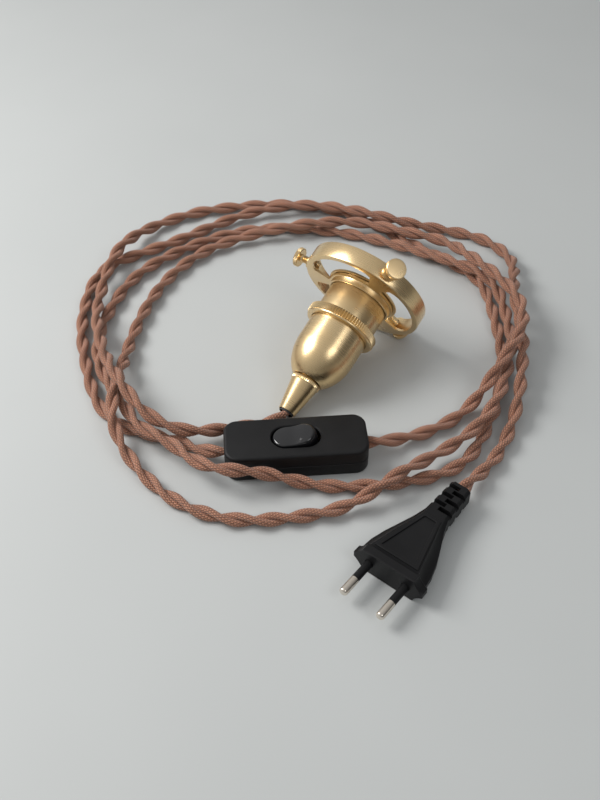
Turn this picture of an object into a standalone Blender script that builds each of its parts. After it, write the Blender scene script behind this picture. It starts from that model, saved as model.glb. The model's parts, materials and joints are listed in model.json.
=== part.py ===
"""Lamp cord set: a brass lampholder with a shade gallery, a twisted two-core cord with an in-line
rocker switch, and a flat two-pin plug, as the set lies on a table.

Metres, +Z up. The origin is the middle of the switch's base, on the table, and +X runs along the switch.
"""

from math import asin, cos, pi, radians, sin, sqrt, tan

import bmesh
import bpy
import numpy as np
from mathutils import Matrix, Vector

MM = 0.001
GAP = 0.3 * MM  # clearance between touching pieces

# Cord: two 3.2 mm cores twisted together, shown here as one plain tube of the pair's mean width.
CORD_TUBE_RADIUS = 2.7 * MM
CORD_POINT_SPACING = 24 * MM
CORD_ENTRY_RADIUS = 3.4 * MM

# In-line switch.
SWITCH_LENGTH = 67 * MM
SWITCH_WIDTH = 25 * MM
SWITCH_HEIGHT = 15 * MM
SWITCH_CORNER = 6.4 * MM
SWITCH_WALL = 1.6 * MM
SWITCH_EDGE = 1.5 * MM
PARTING_HEIGHT = 7.5 * MM
CORD_HEIGHT = 7.5 * MM  # the cord enters the switch half way up
WELL_LENGTH = 23.2 * MM
WELL_WIDTH = 13.6 * MM
ROCKER_GAP = 0.5 * MM
ROCKER_TOP_LENGTH = 17.6 * MM
ROCKER_TOP_WIDTH = 11.0 * MM
ROCKER_TILT = radians(11)  # each way from level
ROCKER_VEE = radians(8)
PIVOT_HEIGHT = 10.5 * MM
ROCKER_BODY_TOP = 3.0 * MM  # above the pivot
ROCKER_CREST = 5.2 * MM
ROCKER_BODY_BOTTOM = -0.5 * MM
PIN_RADIUS = 0.9 * MM
LUG_THICKNESS = 1.6 * MM
LUG_WIDTH = 6.0 * MM
STEM_RADIUS = 2.9 * MM
STEM_BOTTOM = -5.0 * MM
STEM_BORE_RADIUS = 2.0 * MM
STEM_BORE_TOP = -1.8 * MM
PLUNGER_TOP = -3.9 * MM
PLUNGER_RADIUS = 1.6 * MM
PLUNGER_TIP = -6.3 * MM
SPRING_WIRE_RADIUS = 0.2 * MM
SPRING_RADIUS = 1.3 * MM
SPRING_TURNS = 3
SEESAW_TILT = radians(5)
SEESAW_LENGTH = 13 * MM
SEESAW_WIDTH = 3.5 * MM
SEESAW_THICKNESS = 0.6 * MM
TERMINAL_LENGTH = 7.0 * MM
TERMINAL_WIDTH = 4.8 * MM
TERMINAL_HEIGHT = 4.5 * MM
TERMINAL_X = 14.5 * MM
TONGUE_THICKNESS = 0.5 * MM
NEUTRAL_Y = 7.6 * MM
SCREW_RADIUS = 1.0 * MM
SCREW_HEAD_RADIUS = 1.7 * MM
SCREW_HEAD = 1.0 * MM
CLAMP_X = 28 * MM
CLAMP_LENGTH = 4.0 * MM
CLAMP_WIDTH = 16.6 * MM
CLAMP_THICKNESS = 1.0 * MM
CLAMP_SCREW_Y = 6.3 * MM
CLAMP_POST_RADIUS = 2.0 * MM
CASE_SCREW_X = 22.3 * MM
CASE_SCREW_Y = 7.3 * MM
CASE_POST_RADIUS = 3.2 * MM
CASE_BOSS_RADIUS = 2.4 * MM
CASE_SCREW_RADIUS = 1.1 * MM
CASE_HEAD_RADIUS = 2.2 * MM
CASE_HEAD = 1.4 * MM
CASE_COUNTERBORE = 2.4 * MM
CASE_SCREW_TOP = 11.6 * MM

# Lampholder, turned about its own axis. Heights run from the wide end of the cord grip to the shade.
HOLDER_X = 8.5 * MM
HOLDER_Y = 39.4 * MM
HOLDER_AZIMUTH = radians(50.7)
HOLDER_ELEVATION = radians(22.7)
GALLERY_TURN = radians(34.1)
TABLE_CLEARANCE = 0.05 * MM
GRIP_LENGTH = 18.8 * MM
GRIP_TIP_RADIUS = 4.5 * MM
GRIP_RADIUS = 7.3 * MM
GRIP_BAND = 2.2 * MM
INSERT_WALL = 0.45 * MM
INSERT_PROUD = 0.8 * MM
INSERT_LENGTH = 10.5 * MM
NIPPLE_RADIUS = 5.0 * MM
NIPPLE_WALL = 1.2 * MM
NIPPLE_BELOW = 6.0 * MM
NIPPLE_ABOVE = 8.0 * MM
LOCK_NUT_RADIUS = 8.0 * MM
LOCK_NUT_HEIGHT = 2.6 * MM
DOME_RADIUS = 15.5 * MM
DOME_SHOULDER = 18.0 * MM
DOME_TOP = 34.0 * MM
DOME_WALL = 1.2 * MM
UNION_BOTTOM = 30.2 * MM
UNION_TOP = 35.4 * MM
UNION_RADIUS = 18.6 * MM
UNION_LIP = 1.2 * MM
SLEEVE_RADIUS = 15.85 * MM
SLEEVE_WALL = 0.9 * MM
SLEEVE_TOP = 55.8 * MM
SHELL_RADIUS = 13.9 * MM
SHELL_WALL = 0.4 * MM
SHELL_TOP = 54.6 * MM
THREAD_DEPTH = 0.5 * MM
THREAD_RIDGES = 5
INSULATOR_BOTTOM = 20.6 * MM
INSULATOR_TOP = 33.9 * MM
INSULATOR_RADIUS = 12.4 * MM
INSULATOR_FLANGE = 4.5 * MM
CONTACT_RADIUS = 3.0 * MM
CONTACT_LIFT = 2.6 * MM
CONTACT_STEM_RADIUS = 1.2 * MM
HOLDER_SCREW_X = 8.0 * MM
COLLAR_BOTTOM = 49.4 * MM
COLLAR_WALL = 0.8 * MM
PLATE_BOTTOM = 52.4 * MM
PLATE_THICKNESS = 1.2 * MM
RIM_RADIUS = 32.4 * MM
RIM_WALL = 2.8 * MM
RIM_TOP = 61.5 * MM
WINDOW_INNER_RADIUS = 17.8 * MM
SPOKE_WIDTH = 13.0 * MM
NUT_RADIUS = 19.2 * MM
NUT_HEIGHT = 1.4 * MM
BOSS_HEIGHT = 2.2 * MM
BOSS_BASE_RADIUS = 4.6 * MM
BOSS_TOP_RADIUS = 3.3 * MM
THUMB_HEIGHT = 58.0 * MM
THUMB_HEAD_RADIUS = 5.1 * MM
THUMB_HEAD = 2.6 * MM
THUMB_SHANK_RADIUS = 2.0 * MM
THUMB_SHANK = 11.5 * MM
THUMB_OUT = 4.3 * MM  # how far the first two stand out from their bosses
KNURL_DEPTH = 0.3 * MM

# Plug. Lengths run from its face along the body to the cord.
PLUG_X = 32.5 * MM
PLUG_Y = -74.0 * MM
PLUG_TURN = radians(46.5)
PLUG_THICKNESS = 13.7 * MM
PLUG_LENGTH = 57.4 * MM
RELIEF_START = 37.0 * MM
RELIEF_SLOTS = 4
RELIEF_SLOT_WIDTH = 1.5 * MM
PLUG_PIN_SPACING = 18.6 * MM
PLUG_PIN_RADIUS = 2.0 * MM
PLUG_PIN_LENGTH = 19.0 * MM
PLUG_SLEEVE_LENGTH = 10.0 * MM
PLUG_SLEEVE_RADIUS = 1.9 * MM
PLUG_CORE_RADIUS = 1.15 * MM
PLUG_PIN_DEPTH = 11.0 * MM
CARRIER_START = 3.4 * MM
CARRIER_LENGTH = 7.0 * MM
CARRIER_WIDTH = 25.0 * MM
CARRIER_THICKNESS = 7.0 * MM
PLUG_BORE_DEPTH = 3.0 * MM

# The cords' routes, in millimetres, chosen by hand: each lies on the table, and over itself in low humps.
LAMP_CORD_ROUTE = (
    (-1.3, 27.6, 5.0), (-3.2, 25.2, 4.0), (-8, 21.5, 3.5), (-18, 19, 3.5), (-33, 16, 5.5),
    (-49, 12.5, 9.5), (-66, 18, 14), (-82, 40, 18.5), (-91, 64, 13.5), (-97, 92, 10.5),
    (-97, 121, 7), (-90, 151, 10), (-72, 180, 5), (-46, 195, 3.5), (-11, 200, 3.5),
    (24, 197, 3.5), (55, 181, 3.5), (84, 150, 3.5), (112, 117, 3.5), (114, 90, 3.5),
    (112, 60, 3.5), (90, 3, 3.5), (78, -12, 3.5), (38, -22.5, 3.5), (17, -22, 3.5),
    (-1, -19, 5.5), (-16, -17, 10), (-31, -16.5, 13.5), (-46, -9, 12), (-58, 4, 10.5),
    (-71, 15, 10.5), (-81, 33, 8), (-93, 59, 6), (-97, 82, 4.5), (-92, 110, 3.5),
    (-77, 140, 3.5), (-51, 161, 3.5), (-24, 173, 3.5), (5, 176, 3.5), (55, 162, 4),
    (98, 130, 9), (115, 113, 9.5), (119, 80, 7), (117, 63, 8.5), (113, 50, 9),
    (96, 15, 10), (81, 0, 8.5), (61, -12, 7.5), (42, -24.5, 10.2), (22, -34, 5.5),
    (-5, -38, 3.5), (-30, -37, 3.5), (-54, -26, 3.5), (-74, -4, 4.5), (-84, 15, 9),
    (-86, 33, 13), (-84, 50, 11.5), (-82, 70, 6), (-75, 103, 3.5), (-61, 134, 3.5),
    (-38, 158, 4), (-11, 168, 6), (34, 171.5, 9.5), (50, 171, 8.5), (76, 158, 10),
    (95, 149, 9.5), (107, 128, 14.5), (118, 106, 16.5), (125, 84, 17), (120, 61, 17),
    (109, 45, 16), (82, 18, 3.5), (64, 8, 3.5), (48, 2.5, 5.5), (39, 0.3, 7.3), (31, 0, 7.5),
)
PLUG_CORD_ROUTE = (
    (-31, 0, 7.5), (-39, 0.8, 7.2), (-48, 6, 5), (-60, 14, 3.5), (-78, 21, 3.5),
    (-93, 37, 3.5), (-101, 62, 3.5), (-106, 93, 3.5), (-105, 120, 3.5), (-96, 146, 3.5),
    (-80, 157, 3.5), (-54, 170, 3.5), (-20, 188, 4.5), (8, 193, 7), (34, 189, 8.2),
    (62, 175, 10), (84, 169, 6.5), (104, 165, 3.5), (122, 155, 3.5), (133, 136, 4.5),
    (129, 110, 9.5), (125, 88, 11), (123, 65, 10.2), (117, 41, 10.5), (111, 22, 8),
    (101, 1, 3.5), (92, -12, 3.5), (83, -21.5, 4.8), (77, -27.4, 6.5), (71.3, -33.1, 6.9),
)


def clear_scene():
    for thing in list(bpy.data.objects):
        bpy.data.objects.remove(thing)


def material(name, colour, roughness, metallic=0.0):
    made = bpy.data.materials.new(name)
    made.use_nodes = True
    shader = made.node_tree.nodes["Principled BSDF"]
    shader.inputs["Base Color"].default_value = (*colour, 1)
    shader.inputs["Roughness"].default_value = roughness
    shader.inputs["Metallic"].default_value = metallic
    made.diffuse_color = (*colour, 1)
    return made


def place(name, mesh, look, parent=None, location=(0, 0, 0), rotation=(0, 0, 0)):
    piece = bpy.data.objects.new(name, mesh)
    bpy.context.scene.collection.objects.link(piece)
    piece.parent = parent
    piece.location = location
    piece.rotation_euler = rotation
    if look:
        mesh.materials.append(look)
    return piece


def frame_at(name, location, rotation, parent=None):
    empty = bpy.data.objects.new(name, None)
    bpy.context.scene.collection.objects.link(empty)
    empty.parent = parent
    empty.location = location
    empty.rotation_euler = rotation
    return empty


def finish_mesh(shape, name, sharp=40):
    bmesh.ops.recalc_face_normals(shape, faces=shape.faces)
    mesh = bpy.data.meshes.new(name)
    shape.to_mesh(mesh)
    shape.free()
    mesh.shade_smooth()
    mesh.set_sharp_from_angle(angle=radians(sharp))
    return mesh


def loft(name, rings, closed=False):
    """A mesh through rings of points: capped at both ends, or joined end to start when closed."""
    shape = bmesh.new()
    loops = [[shape.verts.new(point) for point in ring] for ring in rings]
    pairs = list(zip(loops, loops[1:]))
    if closed:
        pairs.append((loops[-1], loops[0]))
    for lower, upper in pairs:
        for i in range(len(lower)):
            j = (i + 1) % len(lower)
            shape.faces.new((lower[i], lower[j], upper[j], upper[i]))
    if not closed:
        shape.faces.new(loops[0][::-1])
        shape.faces.new(loops[-1])
    return finish_mesh(shape, name)


def turned(name, profile, segments=48, solid=False, knurled=(), depth=KNURL_DEPTH):
    """A turned piece about Z from (radius, height) points. Those numbered in knurled are cut into teeth."""
    rings = []
    for number, (radius, height) in enumerate(profile):
        cut = depth if number in knurled else 0
        rings.append(
            [
                (
                    (radius - cut * (i % 2)) * cos(2 * pi * i / segments),
                    (radius - cut * (i % 2)) * sin(2 * pi * i / segments),
                    height,
                )
                for i in range(segments)
            ]
        )
    return loft(name, rings, closed=not solid)


def stadium(length, width, steps=8):
    """Points round a shape with two straight sides and two half-round ends, both ends alike."""
    radius = width / 2
    middle = length / 2 - radius
    points = []
    for end, start in ((1, -pi / 2), (-1, pi / 2)):
        for i in range(steps + 1):
            angle = start + pi * i / steps
            points.append((end * middle + radius * cos(angle), radius * sin(angle)))
    return points


def rounded_outline(length, width, corner, steps=5):
    points = []
    for quarter, (x, y) in enumerate(((1, 1), (-1, 1), (-1, -1), (1, -1))):
        for i in range(steps + 1):
            angle = quarter * pi / 2 + pi / 2 * i / steps
            points.append(
                (
                    x * (length / 2 - corner) + corner * cos(angle),
                    y * (width / 2 - corner) + corner * sin(angle),
                )
            )
    return points


def rounded_ring(height, inset, length=SWITCH_LENGTH, width=SWITCH_WIDTH, corner=SWITCH_CORNER):
    outline = rounded_outline(length - 2 * inset, width - 2 * inset, corner - inset)
    return [(x, y, height) for x, y in outline]


def block(name, low, high):
    rings = [
        [(low[0], low[1], z), (high[0], low[1], z), (high[0], high[1], z), (low[0], high[1], z)]
        for z in (low[2], high[2])
    ]
    return loft(name, rings)


def rod(name, radius, low, high, segments=20):
    return turned(name, ((radius, low), (radius, high)), segments, solid=True)


def boolean(piece, mesh, operation="DIFFERENCE", parent=None, location=(0, 0, 0), rotation=(0, 0, 0)):
    """Cuts or joins a helper mesh. The helper stays out of the model."""
    helper = place(f"{piece.name}_tool", mesh, None, parent, location, rotation)
    helper.hide_render = True
    helper.display_type = "WIRE"
    change = piece.modifiers.new(operation.title(), "BOOLEAN")
    change.operation = operation
    change.object = helper
    return helper


def screw_mesh(name, shaft, head_radius, head, length, top=0.0):
    """A screw about Z with its head's top at the given height."""
    mesh = turned(
        name,
        (
            (shaft, top - head - length),
            (shaft, top - head),
            (head_radius, top - head),
            (head_radius, top - head * 0.3),
            (head_radius * 0.8, top),
        ),
        16,
        solid=True,
    )
    return mesh


# ---------------------------------------------------------------- switch


def lower_housing(look):
    inner = SWITCH_WALL
    top = PARTING_HEIGHT - GAP / 2
    piece = place(
        "lower_housing",
        loft(
            "lower_housing",
            (
                rounded_ring(0, 1.2 * MM),
                rounded_ring(0.35 * MM, 0.35 * MM),
                rounded_ring(1.2 * MM, 0),
                rounded_ring(top, 0),
                rounded_ring(top, inner),
                rounded_ring(SWITCH_WALL, inner),
            ),
        ),
        look,
    )
    post_top = CORD_HEIGHT + CORD_TUBE_RADIUS
    for x in (-CLAMP_X, CLAMP_X):
        for y in (-CLAMP_SCREW_Y, CLAMP_SCREW_Y):
            post = rod("post", CLAMP_POST_RADIUS, 0.8 * MM, post_top, 12)
            boolean(piece, post, "UNION", location=(x, y, 0))
    for side in (-1, 1):
        spot = (side * CASE_SCREW_X, side * CASE_SCREW_Y, 0)
        boolean(piece, rod("post", CASE_POST_RADIUS, 0.8 * MM, top, 20), "UNION", location=spot)
    for side in (-1, 1):
        spot = (side * CASE_SCREW_X, side * CASE_SCREW_Y, 0)
        hole = CASE_SCREW_RADIUS + GAP
        mouth = CASE_HEAD_RADIUS + GAP
        cutter = turned(
            "screw_hole",
            ((mouth, -1 * MM), (mouth, CASE_COUNTERBORE), (hole, CASE_COUNTERBORE), (hole, top + 1 * MM)),
            20,
            solid=True,
        )
        boolean(piece, cutter, location=spot)
    for x in (-CLAMP_X, CLAMP_X):
        for y in (-CLAMP_SCREW_Y, CLAMP_SCREW_Y):
            hole = rod("hole", SCREW_RADIUS + GAP, 3 * MM, post_top + 1 * MM, 12)
            boolean(piece, hole, location=(x, y, 0))
    cord_entries(piece)
    return piece


def cord_entries(piece):
    depth = SWITCH_LENGTH / 2 + 1 * MM
    for side in (-1, 1):
        hole = rod("entry", CORD_ENTRY_RADIUS, SWITCH_LENGTH / 2 - 3 * MM, depth, 20)
        boolean(piece, hole, location=(0, 0, CORD_HEIGHT), rotation=(0, side * pi / 2, 0))


def upper_housing(look):
    bottom = PARTING_HEIGHT + GAP / 2
    ceiling = SWITCH_HEIGHT - SWITCH_WALL
    edge = SWITCH_EDGE
    rounding = [
        rounded_ring(SWITCH_HEIGHT - edge + edge * sin(angle), edge - edge * cos(angle))
        for angle in (0, pi / 6, pi / 3, pi / 2)
    ]
    piece = place(
        "upper_housing",
        loft(
            "upper_housing",
            [
                rounded_ring(ceiling, SWITCH_WALL),
                rounded_ring(bottom, SWITCH_WALL),
                rounded_ring(bottom, 0),
                *rounding,
            ],
        ),
        look,
    )
    for side in (-1, 1):
        near = side * (WELL_WIDTH / 2 + GAP)
        far = near + side * LUG_THICKNESS
        lug = block(
            "lug",
            (-LUG_WIDTH / 2, min(near, far), PIVOT_HEIGHT - 2.4 * MM),
            (LUG_WIDTH / 2, max(near, far), ceiling + 0.5 * MM),
        )
        boolean(piece, lug, "UNION")
        boss = rod("boss", CASE_BOSS_RADIUS, bottom, ceiling + 0.5 * MM, 20)
        boolean(piece, boss, "UNION", location=(side * CASE_SCREW_X, side * CASE_SCREW_Y, 0))
    for side in (-1, 1):
        hole = rod("hole", CASE_SCREW_RADIUS + GAP, bottom - 1 * MM, CASE_SCREW_TOP + GAP, 20)
        boolean(piece, hole, location=(side * CASE_SCREW_X, side * CASE_SCREW_Y, 0))
    reach = WELL_WIDTH / 2 + GAP + LUG_THICKNESS + 1 * MM
    pin_hole = rod("pin_hole", PIN_RADIUS + GAP, -reach, reach, 16)
    boolean(piece, pin_hole, location=(0, 0, PIVOT_HEIGHT), rotation=(pi / 2, 0, 0))
    well = [
        [(x, y, z) for x, y in stadium(WELL_LENGTH, WELL_WIDTH, 10)]
        for z in (ceiling - 1 * MM, SWITCH_HEIGHT + 1 * MM)
    ]
    boolean(piece, loft("well", well))
    cord_entries(piece)
    return piece


def rocker(look, pivot):
    """The rocker about its pivot, level. Its top is a shallow vee, so that the pressed half lies flat."""
    body_length = WELL_LENGTH - 3.5 * ROCKER_GAP
    body_width = WELL_WIDTH - 2 * ROCKER_GAP
    top = stadium(ROCKER_TOP_LENGTH, ROCKER_TOP_WIDTH, 10)
    side = stadium(body_length, body_width, 10)
    shoulder = stadium(ROCKER_TOP_LENGTH + 1.2 * MM, ROCKER_TOP_WIDTH + 0.6 * MM, 10)
    rise = tan(ROCKER_VEE)
    shape = bmesh.new()
    rings = [
        [(x, y, ROCKER_BODY_BOTTOM) for x, y in side],
        [(x, y, ROCKER_BODY_TOP) for x, y in side],
        [(x, y, ROCKER_CREST - 0.5 * MM + abs(x) * rise) for x, y in shoulder],
        [(x, y, ROCKER_CREST + abs(x) * rise) for x, y in top],
    ]
    loops = [[shape.verts.new(point) for point in ring] for ring in rings]
    count = len(side)
    for lower, upper in zip(loops, loops[1:]):
        for i in range(count):
            j = (i + 1) % count
            shape.faces.new((lower[i], lower[j], upper[j], upper[i]))
    shape.faces.new(loops[0][::-1])
    # The top is closed by strips across it, split along the middle at the bottom of the vee.
    last = loops[-1]
    half = count // 2
    low = shape.verts.new((0, -ROCKER_TOP_WIDTH / 2, ROCKER_CREST))
    high = shape.verts.new((0, ROCKER_TOP_WIDTH / 2, ROCKER_CREST))
    for i in range(half // 2):
        a, b = last[i], last[i + 1]
        c, d = last[half - 2 - i], last[half - 1 - i]
        corners = [a, b, c, d] if b is not c else [a, b, d]
        shape.faces.new(corners)
        a, b = last[half + i], last[half + i + 1]
        c, d = last[count - 2 - i], last[count - 1 - i]
        corners = [a, b, c, d] if b is not c else [a, b, d]
        shape.faces.new(corners)
    shape.faces.new((low, last[0], last[half - 1], high))
    shape.faces.new((high, last[half], last[count - 1], low))
    # The side strips below the vee's ends take the two middle points in.
    for middle, left, right in ((low, last[count - 1], last[0]), (high, last[half - 1], last[half])):
        shape.faces.new((left, right, middle))
    piece = place("rocker", finish_mesh(shape, "rocker"), look, pivot)
    stem = rod("stem", STEM_RADIUS, STEM_BOTTOM, 1 * MM, 20)
    boolean(piece, stem, "UNION", pivot)
    bore = rod("bore", STEM_BORE_RADIUS, STEM_BOTTOM - 1 * MM, STEM_BORE_TOP, 20)
    boolean(piece, bore, "DIFFERENCE", pivot)
    reach = WELL_WIDTH
    hole = rod("hole", PIN_RADIUS + GAP, -reach, reach, 16)
    boolean(piece, hole, "DIFFERENCE", pivot, rotation=(pi / 2, 0, 0))
    return piece


def contact_spring(look, pivot):
    """The coil that drives the plunger, inside the rocker's stem."""
    top = STEM_BORE_TOP - GAP - SPRING_WIRE_RADIUS
    bottom = PLUNGER_TOP + GAP + SPRING_WIRE_RADIUS
    steps = SPRING_TURNS * 12
    coil = bpy.data.curves.new("plunger_spring", "CURVE")
    coil.dimensions = "3D"
    coil.bevel_depth = SPRING_WIRE_RADIUS
    coil.bevel_resolution = 1
    coil.use_fill_caps = True
    line = coil.splines.new("POLY")
    line.points.add(steps)
    for i, point in enumerate(line.points):
        angle = 2 * pi * i / 12
        height = bottom + (top - bottom) * i / steps
        point.co = (SPRING_RADIUS * cos(angle), SPRING_RADIUS * sin(angle), height, 1)
    piece = place("plunger_spring", coil, look, pivot)
    return piece


def switch_mechanism(brass, steel, plastic, rocker_pivot):
    reach = WELL_WIDTH / 2 + GAP + LUG_THICKNESS
    pin = rod("rocker_pin", PIN_RADIUS, -reach, reach, 16)
    place("rocker_pin", pin, steel, location=(0, 0, PIVOT_HEIGHT), rotation=(pi / 2, 0, 0))
    plunger = turned(
        "contact_plunger",
        (
            (0.5 * MM, PLUNGER_TIP),
            (1.2 * MM, PLUNGER_TIP + 0.4 * MM),
            (PLUNGER_RADIUS, PLUNGER_TIP + 1.1 * MM),
            (PLUNGER_RADIUS, PLUNGER_TOP),
        ),
        16,
        solid=True,
    )
    place("contact_plunger", plunger, plastic, rocker_pivot)
    contact_spring(steel, rocker_pivot)
    floor = SWITCH_WALL + GAP
    top = floor + TERMINAL_HEIGHT
    seesaw_base = PIVOT_HEIGHT + PLUNGER_TIP - GAP - SEESAW_THICKNESS
    seesaw_pivot = frame_at("seesaw_pivot", (0, 0, seesaw_base), (0, SEESAW_TILT, 0))
    place(
        "rocking_contact",
        block(
            "rocking_contact",
            (-SEESAW_LENGTH / 2, -SEESAW_WIDTH / 2, 0),
            (SEESAW_LENGTH / 2, SEESAW_WIDTH / 2, SEESAW_THICKNESS),
        ),
        brass,
        seesaw_pivot,
    )
    # The fixed contact: a terminal block with a tongue that reaches under the seesaw's left end.
    half = TERMINAL_WIDTH / 2
    inner = TERMINAL_X - TERMINAL_LENGTH / 2
    outer = TERMINAL_X + TERMINAL_LENGTH / 2
    tongue = floor + TONGUE_THICKNESS
    live = place("live_terminal", block("live_terminal", (-outer, -half, floor), (-inner, half, top)), brass)
    left_tongue = block("tongue", (-inner - 1 * MM, -1.8 * MM, floor), (-4.6 * MM, 1.8 * MM, tongue))
    boolean(live, left_tongue, "UNION")
    load = place("load_terminal", block("load_terminal", (inner, -half, floor), (outer, half, top)), brass)
    right_tongue = block("tongue", (-0.8 * MM, -1.8 * MM, floor), (inner + 1 * MM, 1.8 * MM, tongue))
    boolean(load, right_tongue, "UNION")
    ridge_top = seesaw_base - GAP
    boolean(load, block("ridge", (-0.8 * MM, -1.8 * MM, floor), (0.8 * MM, 1.8 * MM, ridge_top)), "UNION")
    strip_top = floor + 1.5 * MM
    strip = block("neutral_link", (-outer, NEUTRAL_Y - half, floor), (outer, NEUTRAL_Y + half, strip_top))
    neutral = place("neutral_link", strip, brass)
    for side in (-1, 1):
        low, high = sorted((side * inner, side * outer))
        end = block("end", (low, NEUTRAL_Y - half, floor), (high, NEUTRAL_Y + half, top))
        boolean(neutral, end, "UNION")
    number = 0
    for y, pieces in ((0, {-1: live, 1: load}), (NEUTRAL_Y, {-1: neutral, 1: neutral})):
        for side in (-1, 1):
            number += 1
            spot = (side * TERMINAL_X, y, 0)
            hole = rod("hole", SCREW_RADIUS + GAP, floor + 1 * MM, top + 1 * MM, 12)
            boolean(pieces[side], hole, location=spot)
            head_top = top + GAP + SCREW_HEAD
            length = 2.8 * MM
            mesh = screw_mesh("terminal_screw", SCREW_RADIUS, SCREW_HEAD_RADIUS, SCREW_HEAD, length, head_top)
            place(f"terminal_screw_{number}", mesh, steel, location=spot)


def cord_clamps(plastic, steel):
    base = CORD_HEIGHT + CORD_TUBE_RADIUS + GAP
    top = base + CLAMP_THICKNESS
    number = 0
    for name, x in (("cord_clamp_left", -CLAMP_X), ("cord_clamp_right", CLAMP_X)):
        bar = place(
            name,
            block(
                name,
                (-CLAMP_LENGTH / 2, -CLAMP_WIDTH / 2, base),
                (CLAMP_LENGTH / 2, CLAMP_WIDTH / 2, top),
            ),
            plastic,
            location=(x, 0, 0),
        )
        for y in (-CLAMP_SCREW_Y, CLAMP_SCREW_Y):
            number += 1
            hole = rod("hole", SCREW_RADIUS + GAP, base - 1 * MM, top + 1 * MM, 12)
            boolean(bar, hole, location=(x, y, 0))
            head_top = top + GAP + SCREW_HEAD
            length = head_top - SCREW_HEAD - 4 * MM
            mesh = screw_mesh("clamp_screw", SCREW_RADIUS, SCREW_HEAD_RADIUS, SCREW_HEAD, length, head_top)
            place(f"clamp_screw_{number}", mesh, steel, location=(x, y, 0))


def housing_screws(steel):
    for number, side in ((1, -1), (2, 1)):
        top = CASE_COUNTERBORE - GAP
        mesh = turned(
            "housing_screw",
            (
                (CASE_HEAD_RADIUS * 0.8, top - CASE_HEAD),
                (CASE_HEAD_RADIUS, top - CASE_HEAD * 0.7),
                (CASE_HEAD_RADIUS, top),
                (CASE_SCREW_RADIUS, top),
                (CASE_SCREW_RADIUS, CASE_SCREW_TOP),
            ),
            16,
            solid=True,
        )
        spot = (side * CASE_SCREW_X, side * CASE_SCREW_Y, 0)
        place(f"housing_screw_{number}", mesh, steel, location=spot)


# ---------------------------------------------------------------- lampholder


def holder_frame():
    """The lampholder lies on the tip of its cord grip and on the lowest thumbscrew."""
    height = (
        GRIP_LENGTH * sin(HOLDER_ELEVATION) + GRIP_TIP_RADIUS * cos(HOLDER_ELEVATION) + TABLE_CLEARANCE
    )
    axis = Vector(
        (
            cos(HOLDER_ELEVATION) * cos(HOLDER_AZIMUTH),
            cos(HOLDER_ELEVATION) * sin(HOLDER_AZIMUTH),
            sin(HOLDER_ELEVATION),
        )
    )
    up = (Vector((0, 0, 1)) - axis * axis.z).normalized()
    side = axis.cross(up)
    turn = Matrix((up, side, axis)).transposed()
    return frame_at("holder_axis", (HOLDER_X, HOLDER_Y, height), turn.to_euler())


def bullet_radius(height, shoulder, radius):
    """The dome's radius: a quarter ellipse below the shoulder, straight above it."""
    if height >= shoulder:
        return radius
    reach = shoulder + 3 * MM
    return radius * sqrt(1 - ((shoulder - height) / reach) ** 2)


def dome_cap(look, axis):
    heights = [0.2 * MM, 0.9 * MM, 2 * MM, 3.6 * MM, 6 * MM, 9.5 * MM, 13.5 * MM, DOME_SHOULDER, DOME_TOP]
    outer = [(bullet_radius(h, DOME_SHOULDER, DOME_RADIUS), h) for h in heights]
    inner_heights = [h + DOME_WALL for h in heights[1:-1]] + [DOME_TOP]
    inner = [(bullet_radius(h, DOME_SHOULDER, DOME_RADIUS) - DOME_WALL, h) for h in inner_heights]
    bore = NIPPLE_RADIUS + GAP
    profile = [(bore, heights[0]), *outer, *reversed(inner), (bore, inner_heights[0])]
    place("dome_cap", turned("dome_cap", profile, 48), look, axis)


def cord_grip(look, rubber, axis):
    bore = CORD_TUBE_RADIUS + 2 * GAP + INSERT_WALL + GAP
    top = -0.2 * MM
    band = KNURL_DEPTH
    profile = (
        (bore, -GRIP_LENGTH),
        (GRIP_TIP_RADIUS, -GRIP_LENGTH),
        (GRIP_RADIUS, top - GRIP_BAND),
        (GRIP_RADIUS + band, top - GRIP_BAND),
        (GRIP_RADIUS + band, top - 0.3 * MM),
        (GRIP_RADIUS - 0.2 * MM, top),
        (NIPPLE_RADIUS + GAP, top),
        (NIPPLE_RADIUS + GAP, -NIPPLE_BELOW - GAP),
        (bore, -NIPPLE_BELOW - GAP - 1 * MM),
    )
    place("cord_grip", turned("cord_grip", profile, 48, knurled=(3, 4)), look, axis)
    outer = bore - GAP
    inner = outer - INSERT_WALL
    low = -GRIP_LENGTH - INSERT_PROUD
    insert = ((inner, low), (outer, low), (outer, low + INSERT_LENGTH), (inner, low + INSERT_LENGTH))
    place("cord_insert", turned("cord_insert", insert, 24), rubber, axis)


def nipple_and_nut(brass, steel, axis):
    inner = NIPPLE_RADIUS - NIPPLE_WALL
    tube = (
        (inner, -NIPPLE_BELOW),
        (NIPPLE_RADIUS, -NIPPLE_BELOW),
        (NIPPLE_RADIUS, NIPPLE_ABOVE),
        (inner, NIPPLE_ABOVE),
    )
    place("threaded_nipple", turned("threaded_nipple", tube, 32), brass, axis)
    bottom = 0.9 * MM + DOME_WALL + GAP
    bore = NIPPLE_RADIUS + GAP
    rings = []
    top = bottom + LOCK_NUT_HEIGHT
    for radius, height in ((bore, bottom), (0, bottom), (0, top), (bore, top)):
        ring = []
        for i in range(24):
            angle = 2 * pi * i / 24
            flat = LOCK_NUT_RADIUS * cos(pi / 6) / cos((angle % (pi / 3)) - pi / 6)
            reach = radius or flat
            ring.append((reach * cos(angle), reach * sin(angle), height))
        rings.append(ring)
    place("lock_nut", loft("lock_nut", rings, closed=True), steel, axis)


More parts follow.
